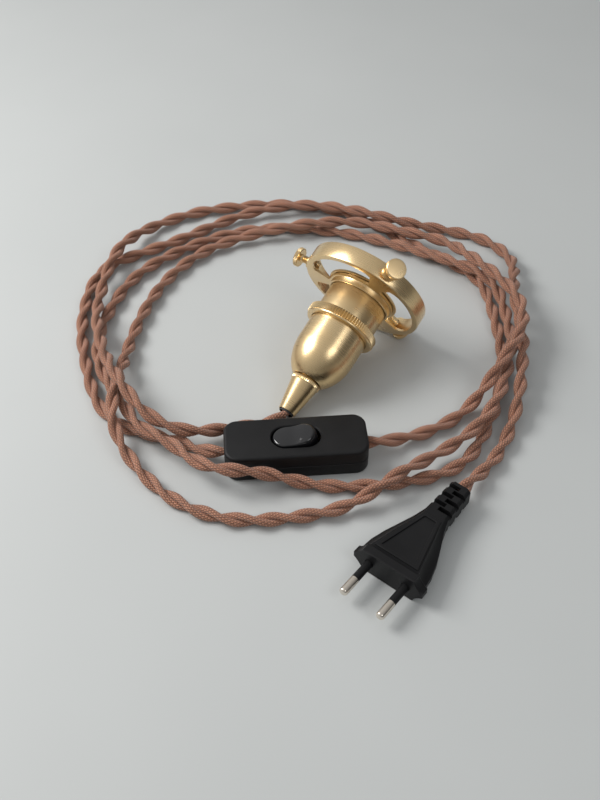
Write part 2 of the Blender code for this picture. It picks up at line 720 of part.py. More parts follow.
def insulator_and_contacts(ceramic, brass, steel, axis):
    flange = DOME_RADIUS - DOME_WALL - GAP
    core = place(
        "insulator",
        turned(
            "insulator",
            (
                (INSULATOR_RADIUS, INSULATOR_BOTTOM),
                (INSULATOR_RADIUS, INSULATOR_TOP - INSULATOR_FLANGE),
                (flange, INSULATOR_TOP - INSULATOR_FLANGE),
                (flange, INSULATOR_TOP),
            ),
            32,
            solid=True,
        ),
        ceramic,
        axis,
    )
    hole = rod("hole", CONTACT_STEM_RADIUS + GAP, INSULATOR_BOTTOM - 1 * MM, INSULATOR_TOP + 1 * MM, 16)
    boolean(core, hole, "DIFFERENCE", axis)
    base = INSULATOR_TOP + CONTACT_LIFT
    contact = (
        (CONTACT_STEM_RADIUS, INSULATOR_BOTTOM + 3 * MM),
        (CONTACT_STEM_RADIUS, base),
        (CONTACT_RADIUS, base),
        (CONTACT_RADIUS, base + 0.6 * MM),
        (CONTACT_RADIUS * 0.5, base + 1.2 * MM),
    )
    place("centre_contact", turned("centre_contact", contact, 20, solid=True), brass, axis)
    for number, side in ((1, -1), (2, 1)):
        hole = rod("hole", SCREW_RADIUS + GAP, INSULATOR_BOTTOM - 1 * MM, INSULATOR_BOTTOM + 6.4 * MM, 12)
        boolean(core, hole, "DIFFERENCE", axis, (side * HOLDER_SCREW_X, 0, 0))
        mesh = screw_mesh("holder_screw", SCREW_RADIUS, 2.3 * MM, 1.4 * MM, 6 * MM)
        place(
            f"holder_terminal_screw_{number}",
            mesh,
            steel,
            axis,
            (side * HOLDER_SCREW_X, 0, INSULATOR_BOTTOM - GAP - 1.4 * MM),
            (pi, 0, 0),
        )


def screw_shell(look, axis):
    """The threaded shell: a cup whose wall is rolled into ridges."""
    bottom = INSULATOR_TOP + GAP
    floor = bottom + SHELL_WALL
    pitch = (SHELL_TOP - floor - 2 * MM) / THREAD_RIDGES
    outer = [(SHELL_RADIUS, bottom)]
    inner = []
    for i in range(THREAD_RIDGES * 2 + 1):
        radius = SHELL_RADIUS - THREAD_DEPTH * (i % 2)
        height = floor + 1 * MM + pitch * i / 2
        outer.append((radius, height))
        inner.append((radius - SHELL_WALL, height))
    outer.append((SHELL_RADIUS, SHELL_TOP))
    inner.append((SHELL_RADIUS - SHELL_WALL, SHELL_TOP))
    hole = CONTACT_RADIUS + 2 * MM
    profile = [(hole, bottom), *outer, *reversed(inner), (SHELL_RADIUS - SHELL_WALL, floor), (hole, floor)]
    place("screw_shell", turned("screw_shell", profile, 32), look, axis)


def sleeve_and_rings(look, axis):
    inner = SLEEVE_RADIUS - SLEEVE_WALL
    sleeve = (
        (inner, DOME_TOP + GAP),
        (SLEEVE_RADIUS, DOME_TOP + GAP),
        (SLEEVE_RADIUS, SLEEVE_TOP - 0.4 * MM),
        (SLEEVE_RADIUS - 0.3 * MM, SLEEVE_TOP),
        (inner, SLEEVE_TOP),
    )
    place("outer_sleeve", turned("outer_sleeve", sleeve, 48), look, axis)
    bore = SLEEVE_RADIUS + GAP
    lip = DOME_RADIUS + GAP
    ring = (
        (lip, UNION_BOTTOM),
        (UNION_RADIUS - 1 * MM, UNION_BOTTOM),
        (UNION_RADIUS - 0.2 * MM, UNION_BOTTOM + 0.5 * MM),
        (UNION_RADIUS - 0.2 * MM, UNION_BOTTOM + 1.1 * MM),
        (UNION_RADIUS + KNURL_DEPTH, UNION_BOTTOM + 1.1 * MM),
        (UNION_RADIUS + KNURL_DEPTH, UNION_TOP - 0.4 * MM),
        (UNION_RADIUS - 0.4 * MM, UNION_TOP),
        (bore, UNION_TOP),
        (bore, UNION_BOTTOM + UNION_LIP),
        (lip, UNION_BOTTOM + UNION_LIP),
    )
    place("union_ring", turned("union_ring", ring, 96, knurled=(4, 5)), look, axis)
    nut_bottom = PLATE_BOTTOM + PLATE_THICKNESS + GAP
    nut_top = nut_bottom + NUT_HEIGHT
    nut = (
        (bore, nut_bottom),
        (NUT_RADIUS, nut_bottom),
        (NUT_RADIUS, nut_top - 0.4 * MM),
        (NUT_RADIUS - 0.8 * MM, nut_top),
        (bore, nut_top),
    )
    place("gallery_nut", turned("gallery_nut", nut, 96, knurled=(1, 2), depth=0.5 * MM), look, axis)


def window_cutter(name, centre):
    """One window of the gallery's plate, between two spokes with parallel sides and rounded corners."""
    outer = RIM_RADIUS - RIM_WALL
    half = SPOKE_WIDTH / 2
    rings = []
    sweep = pi / 3
    for height in (PLATE_BOTTOM - 1 * MM, PLATE_BOTTOM + PLATE_THICKNESS + 1 * MM):
        ring = []
        steps = 14
        for radius, direction in ((WINDOW_INNER_RADIUS, 1), (outer, -1)):
            flare = 1.0 if radius == outer else 0.45
            reach = sweep - asin(half * flare / radius)
            for i in range(steps + 1):
                angle = centre + direction * reach * (2 * i / steps - 1)
                ring.append((radius * cos(angle), radius * sin(angle), height))
        rings.append(ring)
    return loft(name, rings)


def gallery(look, axis):
    """The shade gallery: a collar, a plate with three windows, and a rim with three bosses."""
    bore = SLEEVE_RADIUS + GAP
    collar = bore + COLLAR_WALL
    plate_top = PLATE_BOTTOM + PLATE_THICKNESS
    inner = RIM_RADIUS - RIM_WALL
    profile = (
        (bore, COLLAR_BOTTOM),
        (collar, COLLAR_BOTTOM),
        (collar, PLATE_BOTTOM - 0.4 * MM),
        (collar + 0.4 * MM, PLATE_BOTTOM),
        (RIM_RADIUS - 0.4 * MM, PLATE_BOTTOM),
        (RIM_RADIUS, PLATE_BOTTOM + 0.4 * MM),
        (RIM_RADIUS, RIM_TOP - 0.4 * MM),
        (RIM_RADIUS - 0.4 * MM, RIM_TOP),
        (inner, RIM_TOP),
        (inner, plate_top),
        (bore, plate_top),
    )
    piece = place("gallery", turned("gallery", profile, 60), look, axis)
    for number in range(3):
        centre = GALLERY_TURN + pi / 3 + number * 2 * pi / 3
        boolean(piece, window_cutter("window", centre), "DIFFERENCE", axis)
    for number in range(3):
        radial = thumb_frame(number, axis)
        boss = turned(
            "boss",
            (
                (BOSS_BASE_RADIUS, RIM_RADIUS - 1.2 * MM),
                (BOSS_BASE_RADIUS * 0.8, RIM_RADIUS + 0.5 * MM),
                (BOSS_TOP_RADIUS, RIM_RADIUS + BOSS_HEIGHT),
            ),
            20,
            solid=True,
        )
        mouth = RIM_RADIUS + BOSS_HEIGHT + 1 * MM
        boss_cut = rod("hole", THUMB_SHANK_RADIUS + GAP, inner - 4 * MM, mouth, 16)
        boolean(piece, boss, "UNION", radial)
        boolean(piece, boss_cut, "DIFFERENCE", radial)
    return piece


def thumb_frame(number, axis):
    """A frame at the holder's axis whose Z points out along one thumbscrew."""
    angle = GALLERY_TURN - number * 2 * pi / 3
    turn = Matrix.Rotation(angle, 3, "Z") @ Matrix.Rotation(pi / 2, 3, "Y")
    return frame_at(f"thumb_axis_{number + 1}", (0, 0, THUMB_HEIGHT), turn.to_euler(), axis)


def thumbscrews(look, axis):
    """Two stand out from the rim, and the lowest one is screwed home."""
    for number in range(3):
        base = RIM_RADIUS + BOSS_HEIGHT + GAP
        if number < 2:
            base = base + THUMB_OUT
        profile = (
            (THUMB_SHANK_RADIUS * 0.7, base - THUMB_SHANK),
            (THUMB_SHANK_RADIUS, base - THUMB_SHANK + 0.6 * MM),
            (THUMB_SHANK_RADIUS, base),
            (THUMB_HEAD_RADIUS, base),
            (THUMB_HEAD_RADIUS, base + THUMB_HEAD - 0.3 * MM),
            (THUMB_HEAD_RADIUS - 0.4 * MM, base + THUMB_HEAD),
        )
        mesh = turned("thumbscrew", profile, 32, solid=True, knurled=(3, 4), depth=0.25 * MM)
        place(f"thumbscrew_{number + 1}", mesh, look, thumb_frame(number, axis))


# ---------------------------------------------------------------- plug


def plug_section(distance):
    """Half width, half thickness and corner chamfers of the plug's body at a distance from its face."""
    stations = (
        (0.0, 17.65, 6.85, 4.6, 5.6),
        (4.2, 17.5, 6.85, 4.6, 5.4),
        (4.8, 16.2, 6.75, 4.0, 5.2),
        (10.0, 15.6, 6.6, 3.8, 4.6),
        (17.0, 13.6, 6.3, 3.4, 4.0),
        (24.0, 10.8, 6.0, 2.8, 3.2),
        (31.0, 7.8, 5.7, 2.2, 2.4),
        (37.0, 5.8, 5.4, 1.6, 1.6),
        (57.0, 5.0, 5.0, 1.5, 1.5),
        (57.4, 4.6, 4.6, 1.5, 1.5),
    )
    columns = np.array(stations).T * MM
    return [float(np.interp(distance, columns[0], columns[i])) for i in range(1, 5)]


def plug_ring(distance):
    half_width, half_height, across, down = plug_section(distance)
    corners = (
        (half_width, half_height - down),
        (half_width - across * 0.3, half_height - down * 0.5),
        (half_width - across, half_height),
        (0, half_height),
    )
    upper = [*corners, *[(-y, z) for y, z in reversed(corners[:-1])]]
    outline = [*upper, *[(y, -z) for y, z in reversed(upper)]]
    return [(distance, y, z) for y, z in outline]


def plug_body(look, frame):
    stations = (0, 4.2, 4.8, 7, 10, 13.5, 17, 20.5, 24, 27.5, 31, 34, 37, 57, 57.4)
    piece = place("plug_body", loft("plug_body", [plug_ring(s * MM) for s in stations]), look, frame)
    low = (CARRIER_START - GAP, -CARRIER_WIDTH / 2 - GAP, -CARRIER_THICKNESS / 2 - GAP)
    high = (CARRIER_START + CARRIER_LENGTH + GAP, CARRIER_WIDTH / 2 + GAP, CARRIER_THICKNESS / 2 + GAP)
    boolean(piece, block("cavity", low, high), "DIFFERENCE", frame)
    for side in (-1, 1):
        for radius, start, end in (
            (PLUG_SLEEVE_RADIUS + GAP, -1 * MM, CARRIER_START),
            (PLUG_CORE_RADIUS + GAP, CARRIER_START, PLUG_PIN_DEPTH + GAP),
        ):
            hole = rod("bore", radius, start, end, 20)
            spot = (0, side * PLUG_PIN_SPACING / 2, 0)
            boolean(piece, hole, "DIFFERENCE", frame, spot, (0, pi / 2, 0))
    bore = rod("bore", CORD_TUBE_RADIUS + 2 * GAP, PLUG_LENGTH - PLUG_BORE_DEPTH, PLUG_LENGTH + 1 * MM, 20)
    boolean(piece, bore, "DIFFERENCE", frame, rotation=(0, pi / 2, 0))
    pitch = (PLUG_LENGTH - RELIEF_START - 3 * MM) / RELIEF_SLOTS
    for number in range(RELIEF_SLOTS):
        start = RELIEF_START + 1.5 * MM + number * pitch
        end = start + RELIEF_SLOT_WIDTH
        side = 1 if number % 2 else -1
        reach = sorted((side * 8 * MM, side * -0.6 * MM))
        for bottom, top in ((3.4 * MM, 8 * MM), (-8 * MM, -3.4 * MM)):
            cutter = block("slot", (start, reach[0], bottom), (end, reach[1], top))
            boolean(piece, cutter, "DIFFERENCE", frame)


def plug_pins(metal, plastic, frame):
    carrier = place(
        "pin_carrier",
        block(
            "pin_carrier",
            (CARRIER_START, -CARRIER_WIDTH / 2, -CARRIER_THICKNESS / 2),
            (CARRIER_START + CARRIER_LENGTH, CARRIER_WIDTH / 2, CARRIER_THICKNESS / 2),
        ),
        plastic,
        frame,
    )
    for number, side in ((1, 1), (2, -1)):
        spot = (0, side * PLUG_PIN_SPACING / 2, 0)
        turn = (0, pi / 2, 0)
        hole = rod("hole", PLUG_CORE_RADIUS + GAP, 0, 2 * CARRIER_LENGTH, 16)
        boolean(carrier, hole, "DIFFERENCE", frame, spot, turn)
        tip = -PLUG_PIN_LENGTH
        pin = (
            (1.0 * MM, tip),
            (1.6 * MM, tip + 0.35 * MM),
            (PLUG_PIN_RADIUS, tip + 1.2 * MM),
            (PLUG_PIN_RADIUS, -PLUG_SLEEVE_LENGTH - GAP),
            (PLUG_CORE_RADIUS, -PLUG_SLEEVE_LENGTH - GAP),
            (PLUG_CORE_RADIUS, PLUG_PIN_DEPTH),
        )
        place(f"plug_pin_{number}", turned("plug_pin", pin, 20, solid=True), metal, frame, spot, turn)
        inner = PLUG_CORE_RADIUS + GAP
        end = CARRIER_START - 2 * GAP
        sleeve = (
            (inner, -PLUG_SLEEVE_LENGTH),
            (PLUG_SLEEVE_RADIUS, -PLUG_SLEEVE_LENGTH),
            (PLUG_SLEEVE_RADIUS, end),
            (inner, end),
        )
        place(f"pin_sleeve_{number}", turned("pin_sleeve", sleeve, 20), plastic, frame, spot, turn)


# ---------------------------------------------------------------- cords


def smooth_curve(points, spacing):
    """Points at about the given spacing along one smooth curve, a natural cubic spline, through the route."""
    knots = np.array(points, float) * MM
    steps = np.linalg.norm(np.diff(knots, axis=0), axis=1)
    count = len(knots)
    system = np.zeros((count, count))
    right = np.zeros((count, 3))
    system[0, 0] = system[-1, -1] = 1
    for i in range(1, count - 1):
        system[i, i - 1 : i + 2] = steps[i - 1], 2 * (steps[i - 1] + steps[i]), steps[i]
        slopes = (knots[i + 1] - knots[i]) / steps[i] - (knots[i] - knots[i - 1]) / steps[i - 1]
        right[i] = 6 * slopes
    bends = np.linalg.solve(system, right)
    curve = []
    for i, step in enumerate(steps):
        pieces = max(1, round(step / spacing))
        for k in range(pieces):
            b = k / pieces
            a = 1 - b
            curve.append(
                a * knots[i]
                + b * knots[i + 1]
                + ((a**3 - a) * bends[i] + (b**3 - b) * bends[i + 1]) * step**2 / 6
            )
    curve.append(knots[-1])
    return curve


def cord(name, route, look):
    tube = bpy.data.curves.new(name, "CURVE")
    tube.dimensions = "3D"
    tube.bevel_depth = CORD_TUBE_RADIUS
    tube.bevel_resolution = 2
    tube.use_fill_caps = True
    points = smooth_curve(route, CORD_POINT_SPACING)
    line = tube.splines.new("POLY")
    line.points.add(len(points) - 1)
    for spot, point in zip(points, line.points):
        point.co = (*spot, 1)
    return place(name, tube, look)


def main():
    clear_scene()
    brass = material("satin_brass", (0.75, 0.52, 0.23), 0.28, 1.0)
    contact_brass = material("contact_brass", (0.72, 0.55, 0.28), 0.35, 1.0)
    steel = material("zinc_steel", (0.62, 0.62, 0.6), 0.35, 1.0)
    nickel = material("nickel", (0.75, 0.7, 0.64), 0.2, 1.0)
    matte_black = material("matte_black", (0.02, 0.02, 0.021), 0.6)
    gloss_black = material("gloss_black", (0.012, 0.012, 0.015), 0.15)
    rubber = material("black_rubber", (0.02, 0.02, 0.02), 0.7)
    ceramic = material("white_ceramic", (0.85, 0.83, 0.78), 0.3)
    braid = material("copper_braid", (0.36, 0.15, 0.09), 0.8)

    lower_housing(matte_black)
    upper_housing(matte_black)
    rocker_pivot = frame_at("rocker_pivot", (0, 0, PIVOT_HEIGHT), (0, -ROCKER_TILT, 0))
    rocker(gloss_black, rocker_pivot)
    switch_mechanism(contact_brass, steel, matte_black, rocker_pivot)
    cord_clamps(matte_black, steel)
    housing_screws(steel)

    axis = holder_frame()
    cord_grip(brass, rubber, axis)
    nipple_and_nut(contact_brass, steel, axis)
    dome_cap(brass, axis)
    insulator_and_contacts(ceramic, contact_brass, steel, axis)
    screw_shell(contact_brass, axis)
    sleeve_and_rings(brass, axis)
    gallery(brass, axis)
    thumbscrews(brass, axis)

    plug = frame_at("plug_frame", (PLUG_X, PLUG_Y, PLUG_THICKNESS / 2), (0, 0, PLUG_TURN))
    plug_body(matte_black, plug)
    plug_pins(nickel, matte_black, plug)

    cord("lamp_cord", LAMP_CORD_ROUTE, braid)
    cord("plug_cord", PLUG_CORD_ROUTE, braid)


main()
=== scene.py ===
"""Looks of a lamp cord set: satin brass lampholder, twisted textile cord, black switch and black plug."""

import json
from math import asin, cos, pi, radians, sin, sqrt, tan

import bmesh
import bpy
import numpy as np
from mathutils import Matrix, Vector


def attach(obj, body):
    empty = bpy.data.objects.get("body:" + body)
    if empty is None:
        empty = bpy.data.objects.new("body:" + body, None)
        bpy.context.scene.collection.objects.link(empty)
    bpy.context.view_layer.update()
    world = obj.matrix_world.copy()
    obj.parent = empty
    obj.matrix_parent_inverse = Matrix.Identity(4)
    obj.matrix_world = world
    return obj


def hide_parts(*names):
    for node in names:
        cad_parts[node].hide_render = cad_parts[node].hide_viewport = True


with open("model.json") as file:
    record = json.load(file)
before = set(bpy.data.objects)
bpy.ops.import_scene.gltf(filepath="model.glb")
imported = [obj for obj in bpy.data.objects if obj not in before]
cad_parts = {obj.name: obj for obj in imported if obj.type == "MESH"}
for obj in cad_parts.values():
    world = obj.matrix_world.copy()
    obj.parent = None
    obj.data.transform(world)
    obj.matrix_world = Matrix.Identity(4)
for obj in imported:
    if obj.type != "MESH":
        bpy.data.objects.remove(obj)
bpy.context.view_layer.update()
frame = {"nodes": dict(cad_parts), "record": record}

bl_info = {
    "name": "Lamp Cord Set",
    "version": (1, 0, 0),
    "blender": (4, 5, 0),
    "location": "View3D > Sidebar > Lamp Cord Set",
    "description": "Builds a lampholder on a twisted textile cord with an in-line switch and a plug",
    "category": "Object",
}

MM = 0.001

# Lampholder: its axis starts at the wide end of the cord grip and runs to the shade.
HOLDER_X = 8.5 * MM
HOLDER_Y = 39.4 * MM
HOLDER_AZIMUTH = radians(50.7)
HOLDER_ELEVATION = radians(22.7)
GALLERY_TURN = radians(34.1)
TABLE_CLEARANCE = 0.05 * MM
GRIP_LENGTH = 18.8 * MM
GRIP_TIP_RADIUS = 4.5 * MM
GRIP_RADIUS = 7.3 * MM
GRIP_BAND = 2.2 * MM
DOME_RADIUS = 15.5 * MM
DOME_SHOULDER = 18.0 * MM
DOME_TOP = 34.0 * MM
UNION_BOTTOM = 30.2 * MM
UNION_TOP = 35.4 * MM
UNION_RADIUS = 18.6 * MM
SLEEVE_RADIUS = 15.85 * MM
SLEEVE_WALL = 0.9 * MM
SLEEVE_TOP = 55.8 * MM
COLLAR_BOTTOM = 49.4 * MM
COLLAR_WALL = 0.8 * MM
PLATE_BOTTOM = 52.4 * MM
PLATE_THICKNESS = 1.2 * MM
RIM_RADIUS = 32.4 * MM
RIM_WALL = 2.8 * MM
RIM_TOP = 61.5 * MM
WINDOW_INNER_RADIUS = 17.8 * MM
SPOKE_WIDTH = 13.0 * MM
NUT_RADIUS = 19.2 * MM
NUT_HEIGHT = 1.4 * MM
BOSS_HEIGHT = 2.2 * MM
THUMB_HEIGHT = 58.0 * MM
THUMB_HEAD_RADIUS = 5.1 * MM
THUMB_HEAD = 2.6 * MM
THUMB_SHANK_RADIUS = 2.0 * MM
THUMB_SHANK = 11.5 * MM
THUMB_OUT = 4.3 * MM
GAP = 0.3 * MM

# Switch.
SWITCH_LENGTH = 67 * MM
SWITCH_WIDTH = 25 * MM
SWITCH_HEIGHT = 15 * MM
SWITCH_CORNER = 6.4 * MM
SWITCH_WALL = 1.6 * MM
SWITCH_EDGE = 1.5 * MM
PARTING_HEIGHT = 7.5 * MM
CORD_HEIGHT = 7.5 * MM
CORD_ENTRY_RADIUS = 3.4 * MM
WELL_LENGTH = 23.2 * MM
WELL_WIDTH = 13.6 * MM
ROCKER_GAP = 0.5 * MM
ROCKER_TOP_LENGTH = 17.6 * MM
ROCKER_TOP_WIDTH = 11.0 * MM
ROCKER_TILT = radians(11)
ROCKER_VEE = radians(8)
PIVOT_HEIGHT = 10.5 * MM
ROCKER_BODY_TOP = 3.0 * MM
ROCKER_CREST = 5.2 * MM

# Plug.
PLUG_X = 32.5 * MM
PLUG_Y = -74.0 * MM
PLUG_TURN = radians(46.5)
PLUG_THICKNESS = 13.7 * MM
PLUG_LENGTH = 57.4 * MM
RELIEF_START = 37.0 * MM
RELIEF_SLOTS = 3
RELIEF_SLOT_WIDTH = 2.3 * MM
PLUG_PIN_SPACING = 18.6 * MM
PLUG_PIN_RADIUS = 2.0 * MM
PLUG_PIN_LENGTH = 19.0 * MM
PLUG_SLEEVE_LENGTH = 10.0 * MM

# Cord: two braided cores twisted round each other.
CORE_RADIUS = 1.68 * MM
CORE_OFFSET = 1.66 * MM
CORD_DIAMETER = 6.6 * MM
TWIST_PITCH = 31 * MM
RING_SPACING = 1.3 * MM
CORE_SEGMENTS = 16

# The cords' routes, in millimetres.
LAMP_CORD_ROUTE = (
    (-1.3, 27.6, 5.0), (-3.2, 25.2, 4.0), (-8, 21.5, 3.5), (-18, 19, 3.5), (-33, 16, 5.5),
    (-49, 12.5, 9.5), (-66, 18, 14), (-82, 40, 18.5), (-91, 64, 13.5), (-97, 92, 10.5),
    (-97, 121, 7), (-90, 151, 10), (-72, 180, 5), (-46, 195, 3.5), (-11, 200, 3.5),
    (24, 197, 3.5), (55, 181, 3.5), (84, 150, 3.5), (112, 117, 3.5), (114, 90, 3.5),
    (112, 60, 3.5), (90, 3, 3.5), (78, -12, 3.5), (38, -22.5, 3.5), (17, -22, 3.5),
    (-1, -19, 5.5), (-16, -17, 10), (-31, -16.5, 13.5), (-46, -9, 12), (-58, 4, 10.5),
    (-71, 15, 10.5), (-81, 33, 8), (-93, 59, 6), (-97, 82, 4.5), (-92, 110, 3.5),
    (-77, 140, 3.5), (-51, 161, 3.5), (-24, 173, 3.5), (5, 176, 3.5), (55, 162, 4),
    (98, 130, 9), (115, 113, 9.5), (119, 80, 7), (117, 63, 8.5), (113, 50, 9),
    (96, 15, 10), (81, 0, 8.5), (61, -12, 7.5), (42, -24.5, 10.2), (22, -34, 5.5),
    (-5, -38, 3.5), (-30, -37, 3.5), (-54, -26, 3.5), (-74, -4, 4.5), (-84, 15, 9),
    (-86, 33, 13), (-84, 50, 11.5), (-82, 70, 6), (-75, 103, 3.5), (-61, 134, 3.5),
    (-38, 158, 4), (-11, 168, 6), (34, 171.5, 9.5), (50, 171, 8.5), (76, 158, 10),
    (95, 149, 9.5), (107, 128, 14.5), (118, 106, 16.5), (125, 84, 17), (120, 61, 17),
    (109, 45, 16), (82, 18, 3.5), (64, 8, 3.5), (48, 2.5, 5.5), (39, 0.3, 7.3), (31, 0, 7.5),
)
PLUG_CORD_ROUTE = (
    (-31, 0, 7.5), (-39, 0.8, 7.2), (-48, 6, 5), (-60, 14, 3.5), (-78, 21, 3.5),
    (-93, 37, 3.5), (-101, 62, 3.5), (-106, 93, 3.5), (-105, 120, 3.5), (-96, 146, 3.5),
    (-80, 157, 3.5), (-54, 170, 3.5), (-20, 188, 4.5), (8, 193, 7), (34, 189, 8.2),
    (62, 175, 10), (84, 169, 6.5), (104, 165, 3.5), (122, 155, 3.5), (133, 136, 4.5),
    (129, 110, 9.5), (125, 88, 11), (123, 65, 10.2), (117, 41, 10.5), (111, 22, 8),
    (101, 1, 3.5), (92, -12, 3.5), (83, -21.5, 4.8), (77, -27.4, 6.5), (71.3, -33.1, 6.9),
)


# ---------------------------------------------------------------- materials


def node(tree, kind, values=None, **settings):
    made = tree.nodes.new(kind)
    for key, value in settings.items():
        setattr(made, key, value)
    for key, value in (values or {}).items():
        made.inputs[key].default_value = value
    return made


def maths(tree, operation, first, second=0.0):
    """A Math node on sockets or plain numbers. It returns its output."""
    made = node(tree, "ShaderNodeMath", operation=operation)
    for number, value in enumerate((first, second)):
        if isinstance(value, bpy.types.NodeSocket):
            tree.links.new(value, made.inputs[number])
        else:
            made.inputs[number].default_value = value
    return made.outputs[0]


def new_group(name, outputs):
    group = bpy.data.node_groups.new(name, "ShaderNodeTree")
    for output in outputs:
        group.interface.new_socket(output, in_out="OUTPUT", socket_type="NodeSocketFloat")
    return group, node(group, "NodeGroupOutput")


def braid_group():
    """Two families of yarns, crossing over and under each other, from the core's own UV map."""
    group, out = new_group("Braid weave", ("Height", "Yarn", "Wear"))
    uv = node(group, "ShaderNodeUVMap", uv_map="braid")
    parts = node(group, "ShaderNodeSeparateXYZ")
    group.links.new(uv.outputs[0], parts.inputs[0])
    yarns = 8
    along, around = parts.outputs[0], parts.outputs[1]
    right = maths(group, "MULTIPLY", maths(group, "ADD", along, around), yarns)
    left = maths(group, "MULTIPLY", maths(group, "SUBTRACT", along, around), yarns)
    ridges = []
    for lane in (right, left):
        phase = maths(group, "FRACT", lane)
        ridges.append(maths(group, "SINE", maths(group, "MULTIPLY", phase, pi)))
    cells = maths(group, "ADD", maths(group, "FLOOR", right), maths(group, "FLOOR", left))
    over = maths(group, "PINGPONG", cells, 1.0)
    under = maths(group, "SUBTRACT", 1.0, over)
    height = maths(
        group, "ADD", maths(group, "MULTIPLY", ridges[0], over), maths(group, "MULTIPLY", ridges[1], under)
    )
    group.links.new(height, out.inputs["Height"])
    group.links.new(over, out.inputs["Yarn"])
    place = node(group, "ShaderNodeTexCoord")
    patches = node(group, "ShaderNodeTexNoise", {"Scale": 220.0, "Detail": 3.0, "Roughness": 0.6})
    group.links.new(place.outputs["Object"], patches.inputs["Vector"])
    group.links.new(patches.outputs[0], out.inputs["Wear"])
    return group


def noise_group(name, scale, detail, stretch=(1, 1, 1)):
    group, out = new_group(name, ("Value",))
    place = node(group, "ShaderNodeTexCoord")
    mapping = node(group, "ShaderNodeMapping", {"Scale": stretch})
    noise = node(group, "ShaderNodeTexNoise", {"Scale": scale, "Detail": detail, "Roughness": 0.6})
    group.links.new(place.outputs["Object"], mapping.inputs["Vector"])
    group.links.new(mapping.outputs[0], noise.inputs["Vector"])
    group.links.new(noise.outputs[0], out.inputs["Value"])
    return group


def use_group(tree, name):
    made = node(tree, "ShaderNodeGroup")
    made.node_tree = bpy.data.node_groups[name]
    return made


def blank_material(name, **values):
    made = bpy.data.materials.new(name)
    made.use_nodes = True
    shader = made.node_tree.nodes["Principled BSDF"]
    for key, value in values.items():
        shader.inputs[key.replace("_", " ")].default_value = value
    return made, made.node_tree, shader


def spread(tree, value, low, high):
    """Maps a noise value onto a range. It returns the output."""
    made = node(tree, "ShaderNodeMapRange", {"From Min": 0.3, "From Max": 0.7, "To Min": low, "To Max": high})
    tree.links.new(value, made.inputs["Value"])
    return made.outputs[0]


def bump(tree, shader, height, strength, distance):
    made = node(tree, "ShaderNodeBump", {"Strength": strength, "Distance": distance})
    tree.links.new(height, made.inputs["Height"])
    tree.links.new(made.outputs[0], shader.inputs["Normal"])


def blend_colours(tree, factor, first, second):
    made = node(tree, "ShaderNodeMix", data_type="RGBA")
    made.inputs[6].default_value = (*first, 1)
    made.inputs[7].default_value = (*second, 1)
    tree.links.new(factor, made.inputs[0])
    return made.outputs[2]


def metal(name, light, dark, roughness, marks=0.12):
    """A turned metal: fine tool marks across its axis, and faint uneven tarnish."""
    made, tree, shader = blank_material(name, Metallic=1.0)
    tarnish = use_group(tree, "Tarnish")
    lathe = use_group(tree, "Lathe marks")
    colour = blend_colours(tree, spread(tree, tarnish.outputs[0], 0.0, 1.0), light, dark)
    tree.links.new(colour, shader.inputs["Base Color"])
    rough = maths(
        tree,
        "ADD",
        spread(tree, tarnish.outputs[0], roughness - 0.04, roughness + 0.05),
        spread(tree, lathe.outputs[0], -0.04, 0.04),
    )
    tree.links.new(rough, shader.inputs["Roughness"])
    bump(tree, shader, lathe.outputs[0], marks, 0.00006)
    return made


def plastic(name, colour, roughness, grain, distance=0.00004, specular=0.5):
    made, tree, shader = blank_material(name, Specular_IOR_Level=specular)
    fine = use_group(tree, "Fine grain")
    smear = use_group(tree, "Tarnish")
    lighter = tuple(channel * 1.5 + 0.001 for channel in colour)
    tree.links.new(
        blend_colours(tree, spread(tree, smear.outputs[0], 0.0, 1.0), colour, lighter), shader.inputs["Base Color"]
    )
    tree.links.new(
        spread(tree, smear.outputs[0], roughness - 0.04, roughness + 0.05), shader.inputs["Roughness"]
    )
    bump(tree, shader, fine.outputs[0], grain, distance)
    return made


def braid_material():
    made, tree, shader = blank_material("Copper braid", Roughness=0.72)
    weave = use_group(tree, "Braid weave")
    warm = blend_colours(tree, weave.outputs["Yarn"], (0.46, 0.2, 0.12), (0.61, 0.295, 0.185))
    # Painted shade: the weave's height darkens the colour in the grooves between yarns, multiplied in, with random
    # wear tone from the Wear noise.
    weave_shade_multiply = node(tree, "ShaderNodeMix", data_type="RGBA", blend_type="MULTIPLY")
    weave_shade_multiply.inputs[0].default_value = 1.0
    tree.links.new(warm, weave_shade_multiply.inputs[6])
    shade = node(tree, "ShaderNodeMapRange", {"From Min": 0.0, "From Max": 0.8, "To Min": 0.1, "To Max": 1.0})
    tree.links.new(weave.outputs["Height"], shade.inputs["Value"])
    weave_shade_and_wear = maths(tree, "MULTIPLY", shade.outputs[0], spread(tree, weave.outputs["Wear"], 0.82, 1.12))
    tree.links.new(weave_shade_and_wear, weave_shade_multiply.inputs[7])
    tree.links.new(weave_shade_multiply.outputs[2], shader.inputs["Base Color"])
    shader.inputs["Sheen Weight"].default_value = 0.25
    shader.inputs["Sheen Roughness"].default_value = 0.4
    bump(tree, shader, weave.outputs["Height"], 1.0, 0.0004)
    return made


def table_material():
    made, tree, shader = blank_material("Table", Roughness=0.55)
    mottle = use_group(tree, "Table mottle")
    colour = blend_colours(
        tree, spread(tree, mottle.outputs[0], 0.0, 1.0), (0.52, 0.54, 0.535), (0.55, 0.57, 0.565)
    )
    tree.links.new(colour, shader.inputs["Base Color"])
    return made


